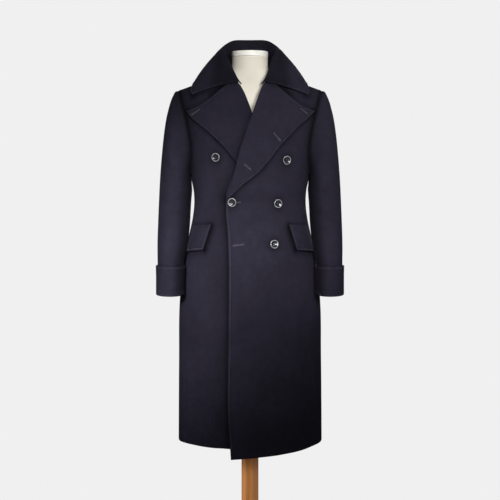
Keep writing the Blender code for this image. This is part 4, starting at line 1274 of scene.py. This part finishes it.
FORWARD = (0.0, -1.0, 0.0)
sewing = bmesh.new()
for panel in (left,):
    points, normal = line_at(panel, FORWARD, "first", STITCH_IN)
    keep = points[:, 2] < 1.115
    stitches(sewing, points[keep], normal[keep])
for lapel in (lapel_l, lapel_r):
    for side in ("last", "top"):
        points, normal = line_at(lapel, FORWARD, side, STITCH_IN)
        if side == "top":
            inside = slice(12, -6)
        else:
            inside = slice(2, -6) if lapel is lapel_l else slice(50, -6)
        stitches(sewing, points[inside], normal[inside])
for side in ("first", "last", "top"):
    points, normal = line_at(collar, (0.0, 1.0, 0.0), side, STITCH_IN)
    inside = slice(6, -6) if side == "top" else slice(34, -6)
    stitches(sewing, points[inside], normal[inside])
for mirrored in (False, True):
    flap = flap_r if mirrored else flap_l
    for side in ("first", "last", "top"):
        points, normal = line_at(flap, FORWARD, side, STITCH_IN)
        inside = slice(6, -6)
        stitches(sewing, points[inside], normal[inside])
    cuff = cuff_r if mirrored else cuff_l
    for side, distance in (("top", STITCH_IN), ("top", 0.0145), ("bottom", STITCH_IN)):
        points, normal = line_at(cuff, (1.0, 0.0, 0.0), side, distance, True)
        points = np.concatenate([points, points[:1]])
        normal = np.concatenate([normal, normal[:1]])
        stitches(sewing, points, normal)
add_object("edge_stitching", sewing, "navy_thread", [])


def buttonhole(built, start, end, lift, lapping):
    """Worked buttonhole: a cord of close stitches along a slit, thicker at its eye."""
    ends = []
    for x, z in (start, end):
        spot, out, own = front_spot(x, z, lapping)
        ends.append(spot + out * (own + lift))
    along = ends[1] - ends[0]
    length = along.length
    along = along.normalized()
    side = out.cross(along).normalized()
    count = round(length / 0.0009)
    for k in range(count + 1):
        for row in (-1.0, 1.0):
            here = ends[0] + along * (length * k / count) + side * row * 0.0015
            turn = Matrix((side, along, out)).transposed().to_4x4()
            bmesh.ops.create_uvsphere(
                built, u_segments=6, v_segments=4, radius=1.0,
                matrix=Matrix.Translation(here + out * 0.0003) @ turn
                @ Matrix.Diagonal((0.0014, 0.00052, 0.0006, 1.0)))
    for k in range(10):
        angle = 2.0 * math.pi * k / 10
        here = ends[1] + (along * math.cos(angle) + side * math.sin(angle)) * 0.0019
        bmesh.ops.create_uvsphere(
            built, u_segments=6, v_segments=4, radius=0.0008,
            matrix=Matrix.Translation(here + out * 0.0003))


holes = bmesh.new()
LAPEL_LIFT = LAYER + 0.0012
for start, end, lift, lapping in (
    ((-0.1560, 1.4060), (-0.1800, 1.3900), LAPEL_LIFT, False),
    ((0.1560, 1.4090), (0.1780, 1.3930), LAPEL_LIFT + 0.0004, True),
    ((0.0720, 1.3330), (0.0930, 1.3080), LAPEL_LIFT, True),
    ((-0.0170, 1.2360), (0.0020, 1.2190), LAPEL_LIFT, True),
    ((-0.0190, 0.9840), (-0.0510, 0.9800), 0.0, True),
    ((-0.0290, 1.1160), (-0.0405, 1.1160), 0.0, True),
):
    buttonhole(holes, start, end, lift, lapping)
add_object("worked_buttonholes", holes, "navy_thread", [])


# ------------------------------------------------------------------ the dress form
def torso_body():
    """Whole smooth torso, its rings laid out on a grid wrapped round and closed at the ends."""
    levels = np.concatenate([np.linspace(0.800, 0.815, 6)[:-1],
                             np.linspace(0.815, 1.40, 60)[:-1],
                             np.linspace(1.40, 1.5765, 50)])
    built = bmesh.new()
    bmesh.ops.create_grid(built, x_segments=96, y_segments=len(levels) - 1, size=0.5)
    for vert in built.verts:
        angle = 2.0 * math.pi * (vert.co.x + 0.5)
        height = float(levels[round((vert.co.y + 0.5) * (len(levels) - 1))])
        wide = float(curve(TORSO, "half_width", height))
        deep = float(curve(TORSO, "front" if math.cos(angle) > 0 else "back", height))
        vert.co = (wide * math.sin(angle), -deep * math.cos(angle), height)
    bmesh.ops.remove_doubles(built, verts=built.verts, dist=1e-6)
    bmesh.ops.holes_fill(built, edges=[e for e in built.edges if e.is_boundary], sides=0)
    bmesh.ops.recalc_face_normals(built, faces=built.faces)
    return built


add_object("form_body", torso_body(), "form_linen", ["form_torso"])


def turned_solid(name, levels, segments, bevel, slot, nodes, turn=0.0):
    """Upright solid with softened edges."""
    low, high, radius = levels
    built = bmesh.new()
    bmesh.ops.create_cone(built, cap_ends=True, segments=segments, radius1=radius,
                          radius2=radius, depth=high - low,
                          matrix=Matrix.Translation((0.0, 0.0, (low + high) / 2.0))
                          @ Matrix.Rotation(turn, 4, "Z"))
    edges = [e for e in built.edges if e.calc_face_angle(0.0) > math.radians(30.0)]
    bmesh.ops.bevel(built, geom=edges, offset=bevel, segments=4, profile=0.5,
                    affect="EDGES", material=-1)
    made = add_object(name, built, slot, nodes)
    made.data.polygons.foreach_set("use_smooth", [False] * len(made.data.polygons))
    return made


turned_solid("form_neck_cap", (CAP_TOP - CAP_THICK, CAP_TOP, CAP_DIAMETER / 2.0), 96, 0.003,
             "cap_cream", ["neck_cap"])
turned_solid("form_pole", (BASE_THICK + SEAM_GAP, TORSO_FOOT - SEAM_GAP,
                           POLE_WIDTH / 2.0 / math.cos(math.pi / 8.0)), 8, 0.0012,
             "pole_wood", ["pole"], POLE_TURN)
turned_solid("form_base", (0.0, BASE_THICK, BASE_DIAMETER / 2.0), 128, 0.005, "base_wood",
             ["base"])

# ------------------------------------------------------------------ floor, light, camera
BACKDROP = 0.871


def backdrop_look():
    look, tree, shader = new_look("studio_paper", (0.75, 0.75, 0.75), 0.9)
    glow = add_node(tree, "ShaderNodeEmission")
    glow.inputs["Color"].default_value = (BACKDROP, BACKDROP, BACKDROP, 1.0)
    seen = tree.nodes.new("ShaderNodeLightPath")
    blend = tree.nodes.new("ShaderNodeMixShader")
    tree.links.new(seen.outputs["Is Camera Ray"], blend.inputs["Fac"])
    dull = add_node(tree, "ShaderNodeBsdfDiffuse")
    dull.inputs["Color"].default_value = (0.35, 0.35, 0.35, 1.0)
    tree.links.new(dull.outputs["BSDF"], blend.inputs[1])
    tree.links.new(glow.outputs["Emission"], blend.inputs[2])
    tree.links.new(blend.outputs["Shader"], tree.nodes["Material Output"].inputs["Surface"])
    tree.nodes.remove(shader)
    return look


floor_mesh = bmesh.new()
bmesh.ops.create_grid(floor_mesh, x_segments=1, y_segments=1, size=14.0)
floor_data = bpy.data.meshes.new("floor")
floor_mesh.to_mesh(floor_data)
floor_mesh.free()
floor = bpy.data.objects.new("floor", floor_data)
bpy.context.scene.collection.objects.link(floor)
floor.data.materials.append(backdrop_look())
floor.location.z = -0.0005

world = bpy.data.worlds.new("studio")
bpy.context.scene.world = world
world.use_nodes = True
sky = world.node_tree
background = sky.nodes["Background"]
background.inputs["Color"].default_value = (BACKDROP, BACKDROP, BACKDROP, 1.0)
background.inputs["Strength"].default_value = 1.0
dim = sky.nodes.new("ShaderNodeBackground")
dim.inputs["Color"].default_value = (0.95, 0.97, 1.0, 1.0)
dim.inputs["Strength"].default_value = 0.04
seen_by = sky.nodes.new("ShaderNodeLightPath")
either = sky.nodes.new("ShaderNodeMixShader")
sky.links.new(seen_by.outputs["Is Camera Ray"], either.inputs["Fac"])
sky.links.new(dim.outputs["Background"], either.inputs[1])
sky.links.new(background.outputs["Background"], either.inputs[2])
sky.links.new(either.outputs["Shader"], sky.nodes["World Output"].inputs["Surface"])


def hang_lamp(name, light, place, aim):
    lamp = bpy.data.objects.new(name, light)
    lamp.location = place
    lamp.rotation_euler = (Vector(aim) - Vector(place)).to_track_quat("-Z", "Y").to_euler()
    bpy.context.scene.collection.objects.link(lamp)


def softbox(name, place, aim, size, power, spread):
    light = bpy.data.lights.new(name, "AREA")
    light.shape = "RECTANGLE"
    light.size, light.size_y = size
    light.energy = power
    light.spread = math.radians(spread)
    hang_lamp(name, light, place, aim)


def spot(name, place, aim, power, angle, blend, soft):
    light = bpy.data.lights.new(name, "SPOT")
    light.energy = power
    light.spot_size = math.radians(angle)
    light.spot_blend = blend
    light.shadow_soft_size = soft
    hang_lamp(name, light, place, aim)


spot("key", (-0.9, -3.0, 1.8), (-0.25, 0.0, 0.86), 460.0, 21.0, 1.0, 0.20)
spot("fill", (0.9, -3.1, 1.9), (0.26, 0.0, 1.27), 370.0, 25.0, 1.0, 0.30)
softbox("front", (0.1, -3.6, 1.9), (0.0, 0.0, 1.25), (1.4, 1.4), 2.0, 55.0)
softbox("top", (0.0, -0.6, 3.4), (0.0, 0.0, 1.2), (1.2, 0.8), 4.4, 100.0)
softbox("back", (0.5, 3.4, 1.9), (0.0, 0.0, 1.0), (1.4, 1.6), 26.0, 80.0)
spot("crown", (0.35, -2.5, 2.3), (0.0, -0.02, 1.63), 50.0, 5.5, 0.6, 0.05)
spot("low_left", (-2.0, -0.9, 0.10), (0.0, 0.0, 0.10), 150.0, 9.5, 0.5, 0.05)
spot("low_right", (1.9, -1.2, 0.10), (0.0, 0.0, 0.10), 75.0, 9.5, 0.5, 0.05)

CAMERA_AWAY = 3.90
CAMERA_HIGH = 1.25
AIM_HIGH = 0.9567
VIEW_WIDE = 1.625
camera_data = bpy.data.cameras.new("camera")
camera = bpy.data.objects.new("camera", camera_data)
bpy.context.scene.collection.objects.link(camera)
camera.location = (0.0, -CAMERA_AWAY, CAMERA_HIGH)
aim = Vector((0.0, 0.0, AIM_HIGH)) - camera.location
camera.rotation_euler = aim.to_track_quat("-Z", "Y").to_euler()
camera_data.sensor_width = 36.0
camera_data.lens = 36.0 * aim.length / VIEW_WIDE
camera_data.clip_end = 60.0
bpy.context.scene.camera = camera
bpy.context.scene.view_settings.view_transform = "Standard"
